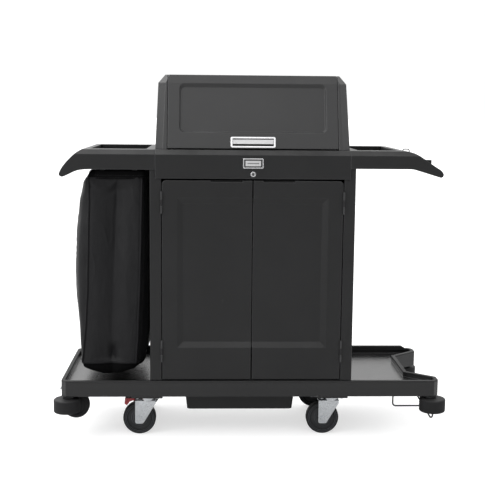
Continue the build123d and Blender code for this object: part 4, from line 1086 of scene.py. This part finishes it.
class CART_OT_fittings(bpy.types.Operator):
    """Finishes the handle, lock, label, hinges, wires and bolts"""

    bl_idname = "cart.fittings"
    bl_label = "Fittings"

    def execute(self, context):
        plastic = context.scene.cart_plastic
        metal = context.scene.cart_metal
        chrome = tuple(metal.chrome)
        zinc = tuple(metal.zinc)
        bright = plated_steel("satin chrome", chrome, 0.24, (0.15, 1.0, 1.0))
        dress(("label_frame", "lock_barrel"), bright)
        plug = plated_steel("dark lock plug", scaled(chrome, 0.22), 0.3, (1.0, 1.0, 1.0))
        dress(("lock_plug",), plug)
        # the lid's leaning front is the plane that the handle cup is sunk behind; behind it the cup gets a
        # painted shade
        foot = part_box("hood_lid")[0]
        facing = (0.0, -math.cos(plastic.hood_lean), math.sin(plastic.hood_lean))
        level = facing[1] * foot.y + facing[2] * foot.z
        cup = plated_steel("chrome cup", chrome, 0.20, (0.15, 1.0, 1.0), well=(facing, level))
        dress(("handle_cup",), cup)
        paddle = plated_steel("brushed paddle", scaled(chrome, 0.74), 0.30, (0.05, 1.0, 1.0), 0.0022)
        dress(("latch_paddle",), paddle)
        dress(("label_card",), printed_card("grey card", (0.52, 0.52, 0.525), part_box("label_card")))
        painted = satin_paint("satin black steel", (0.016, 0.016, 0.017))
        dress(("hinge_leaves", "hinge_pins", "wire_brackets"), painted)
        plated = plated_steel("zinc plate", zinc, 0.30, (1.0, 1.0, 0.3))
        dress(("bumper_bolts", "end_peg", "hood_rod"), plated)
        wire = plated_steel("plated wire", (0.07, 0.07, 0.073), 0.34, (1.0, 0.3, 1.0), 0.0008, 0.7)
        dress(("wire_rack", "wire_hook", "tray_clip", "bag_hoop"), wire)
        return {"FINISHED"}


class CART_OT_casters(bpy.types.Operator):
    """Finishes the four casters and the brake"""

    bl_idname = "cart.casters"
    bl_label = "Casters"

    def execute(self, context):
        plastic = context.scene.cart_plastic
        metal = context.scene.cart_metal
        plated = plated_steel("caster zinc", tuple(metal.zinc), 0.27, (0.4, 1.0, 1.0))
        hub = hard_gloss("hub moulding", (0.014, 0.0155, 0.018), 0.42, 0.1)
        tyre = dull_rubber("tyre rubber", tuple(metal.rubber), plastic, 0.55)
        for spot in SPOTS:
            dress(("caster_plate_" + spot, "caster_fork_" + spot, "caster_axle_" + spot), plated)
            dress(("wheel_hub_" + spot,), hub)
            dress(("wheel_tyre_" + spot,), tyre)
        dress(("brake_lever",), hard_gloss("red lever", tuple(metal.brake), 0.36, 0.25))
        rings = hard_gloss("ring moulding", (0.075, 0.082, 0.092), 0.38, 0.1)
        for spot in SPOTS:
            new_piece("wheel_rings_" + spot, self.rings(spot), rings, "wheel_" + spot)
        return {"FINISHED"}

    def rings(self, spot):
        """Round beads moulded on both sides of a wheel: on the tyre's wall and on the sunk web."""
        low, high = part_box("wheel_tyre_" + spot)
        centre = (low + high) / 2
        radius = (high.z - low.z) / 2
        web_sunk = 0.007
        build = bmesh.new()
        for wall, outward in ((low.y, -1), (high.y, 1)):
            for share, sunk in ((0.88, 0.0), (0.79, 0.0), (0.50, web_sunk), (0.385, web_sunk)):
                self.bead(build, centre, wall - outward * sunk, outward, radius * share)
        return smooth_mesh("wheel_rings_" + spot, build)

    def bead(self, build, centre, face, outward, radius):
        """One ring of half round section that stands on a face."""
        turns, steps, thick = 72, 7, 0.0008
        rings = []
        for k in range(turns):
            angle = 2 * math.pi * k / turns
            ring = []
            for j in range(steps):
                swing = math.pi * j / (steps - 1)
                reach = radius + thick * math.cos(swing)
                rise = face + outward * (thick * math.sin(swing) - 0.0002)
                place = (centre.x + reach * math.cos(angle), rise, centre.z + reach * math.sin(angle))
                ring.append(build.verts.new(place))
            rings.append(ring)
        for k in range(turns):
            after = rings[(k + 1) % turns]
            for j in range(steps):
                following = (j + 1) % steps
                build.faces.new((rings[k][j], after[j], after[following], rings[k][following]))
        bmesh.ops.recalc_face_normals(build, faces=build.faces)


class CART_OT_bumpers(bpy.types.Operator):
    """Finishes the corner bumpers and the guard disc"""

    bl_idname = "cart.bumpers"
    bl_label = "Bumpers"

    def execute(self, context):
        colour = tuple(context.scene.cart_metal.rubber)
        rubber = dull_rubber("bumper rubber", colour, context.scene.cart_plastic)
        dress(["bumper_" + spot for spot in SPOTS] + ["guard_disc"], rubber)
        return {"FINISHED"}


class CART_OT_bag(bpy.types.Operator):
    """Builds the hanging fabric bag with its cuff, seam tapes and stitches"""

    bl_idname = "cart.bag"
    bl_label = "Bag"

    def execute(self, context):
        cloth = context.scene.cart_fabric
        colour = tuple(cloth.cloth)
        woven = coated_cloth("coated cloth", colour, cloth.thread)
        tape = coated_cloth("seam tape", scaled(colour, 0.9), cloth.thread * 0.6, 0.12, 0.5)
        # painted shadow: the cuff is darkened for the tray's shadow over it
        shaded_cuff_cloth = coated_cloth("shaded cuff cloth", scaled(colour, 0.3), cloth.thread, 0.06, 0.66)
        # painted shade: darker cloth for the base, which hangs in shade, and for the band under the tray
        painted_shade_cloth = coated_cloth("painted shade cloth", scaled(colour, 0.25), cloth.thread, 0.04, 0.7)
        thread = hard_gloss("black thread", (0.03, 0.03, 0.031), 0.6, 0.0, 0.0004)

        body = new_piece("bag_cloth", bag_mesh(cloth), woven, "cart")
        body.data.materials.append(painted_shade_cloth)
        # the darker cloth goes on the base and on the band under the tray: painted shade
        for face in body.data.polygons:
            height = face.center.z
            face.material_index = int(height < WALL_END - 0.002 or height > SEAM_TOP)
        thick = body.modifiers.new("thickness", "SOLIDIFY")
        thick.thickness, thick.offset = CLOTH_THICK, -1.0
        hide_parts("bag")

        extras = [self.cuff(cloth, shaded_cuff_cloth)]
        for index, spot in enumerate(("front_left", "front_right", "back_right", "back_left")):
            name = "bag_tape_" + spot
            mesh = binding_mesh(name, index / 4, WALL_END, SEAM_TOP)
            extras.append(new_piece(name, mesh, tape, "cart"))
        extras.append(self.hem(tape))
        extras.append(self.cuff_stitches(cloth, thread))
        height = HOOP_HIGH.z - WALL_END
        return {"FINISHED"}

    def loop(self, z, out):
        """A path round the hoop."""
        low, high = HOOP_LOW, HOOP_HIGH
        sides = (low.x - out, high.x + out, low.y - out, high.y + out)
        return rounded_loop(*sides, HOOP_CORNER + out, z)

    def cuff(self, cloth, tape):
        """Cloth folded over the hoop and sewn to itself."""
        middle = (HOOP_LOW.z + HOOP_HIGH.z) / 2
        section = [(0.0012, -cloth.cuff), (0.0030, -cloth.cuff + 0.002), (0.0026, -0.010)]
        for k in range(9):
            angle = math.pi * k / 8
            section.append((-0.004 + 0.0066 * math.cos(angle), 0.0066 * math.sin(angle)))
        section += [(-0.0104, -0.009), (-0.0098, -0.019)]
        path = []
        for x, y, z, out_x, out_y in self.loop(middle, 0.0):
            wave = 0.0009 * noise.noise(Vector((x * 30, y * 30, 2)))
            path.append((x + out_x * wave, y + out_y * wave, z, out_x, out_y))
        mesh = tube_ring_mesh("bag_cuff", path, section)
        piece = new_piece("bag_cuff", mesh, tape, "cart")
        thick = piece.modifiers.new("thickness", "SOLIDIFY")
        thick.thickness, thick.offset = 0.0011, 0.0
        return piece

    def cuff_stitches(self, cloth, thread):
        """Two rows of thread round the cuff."""
        middle = (HOOP_LOW.z + HOOP_HIGH.z) / 2
        build = bmesh.new()
        for drop in (cloth.cuff - 0.005, 0.012):
            path = self.loop(middle - drop, 0.0032)
            points = [p[:3] for p in path] + [path[0][:3]]
            row = stitches_mesh("row", points, cloth.stitch)
            build.from_mesh(row)
            bpy.data.meshes.remove(row)
        mesh = bpy.data.meshes.new("bag_stitches")
        build.to_mesh(mesh)
        build.free()
        return new_piece("bag_stitches", mesh, thread, "cart")

    def hem(self, tape):
        """Tape round the foot of the wall, where the base is sewn on."""
        path = []
        count = 200
        for k in range(count):
            share = k / count
            x, y = bag_point(share, WALL_END)
            ax, ay = bag_point((share - 0.004) % 1.0, WALL_END)
            bx, by = bag_point((share + 0.004) % 1.0, WALL_END)
            out = Vector((by - ay, ax - bx))
            out.normalize()
            path.append((x, y, WALL_END, out.x, out.y))
        section = (
            (-0.001, -0.0035),
            (0.0026, -0.0038),
            (0.0036, -0.001),
            (0.0036, 0.002),
            (0.0022, 0.0044),
            (-0.001, 0.0046),
        )
        mesh = tube_ring_mesh("bag_hem", path, section)
        return new_piece("bag_hem", mesh, tape, "cart")


# ---------------------------------------------------------------- panel
class CART_PT_panel(bpy.types.Panel):
    """Lists the cart's steps and settings"""

    bl_label = "Housekeeping Cart"
    bl_space_type = "VIEW_3D"
    bl_region_type = "UI"
    bl_category = "Cart"

    def draw(self, context):
        layout = self.layout
        for operator in OPERATORS:
            layout.operator(operator.bl_idname)
        for key in SETTINGS:
            settings = getattr(context.scene, key)
            box = layout.box()
            for name in settings.__annotations__:
                box.prop(settings, name)


OPERATORS = (
    CART_OT_stage,
    CART_OT_mouldings,
    CART_OT_hood,
    CART_OT_fittings,
    CART_OT_casters,
    CART_OT_bumpers,
    CART_OT_bag,
)
SETTINGS = {
    "cart_plastic": CartPlasticSettings,
    "cart_metal": CartMetalSettings,
    "cart_fabric": CartFabricSettings,
    "cart_stage": CartStageSettings,
}


def register():
    for group in SETTINGS.values():
        bpy.utils.register_class(group)
    for operator in OPERATORS:
        bpy.utils.register_class(operator)
    bpy.utils.register_class(CART_PT_panel)
    for key, group in SETTINGS.items():
        setattr(bpy.types.Scene, key, bpy.props.PointerProperty(type=group))


def unregister():
    for key in SETTINGS:
        delattr(bpy.types.Scene, key)
    bpy.utils.unregister_class(CART_PT_panel)
    for operator in reversed(OPERATORS):
        bpy.utils.unregister_class(operator)
    for group in reversed(list(SETTINGS.values())):
        bpy.utils.unregister_class(group)


def main():
    """Runs every step in order."""
    register()
    bpy.ops.cart.stage()
    bpy.ops.cart.mouldings()
    bpy.ops.cart.hood()
    bpy.ops.cart.fittings()
    bpy.ops.cart.casters()
    bpy.ops.cart.bumpers()
    bpy.ops.cart.bag()
    bpy.context.view_layer.update()


if __name__ == "__main__":
    main()
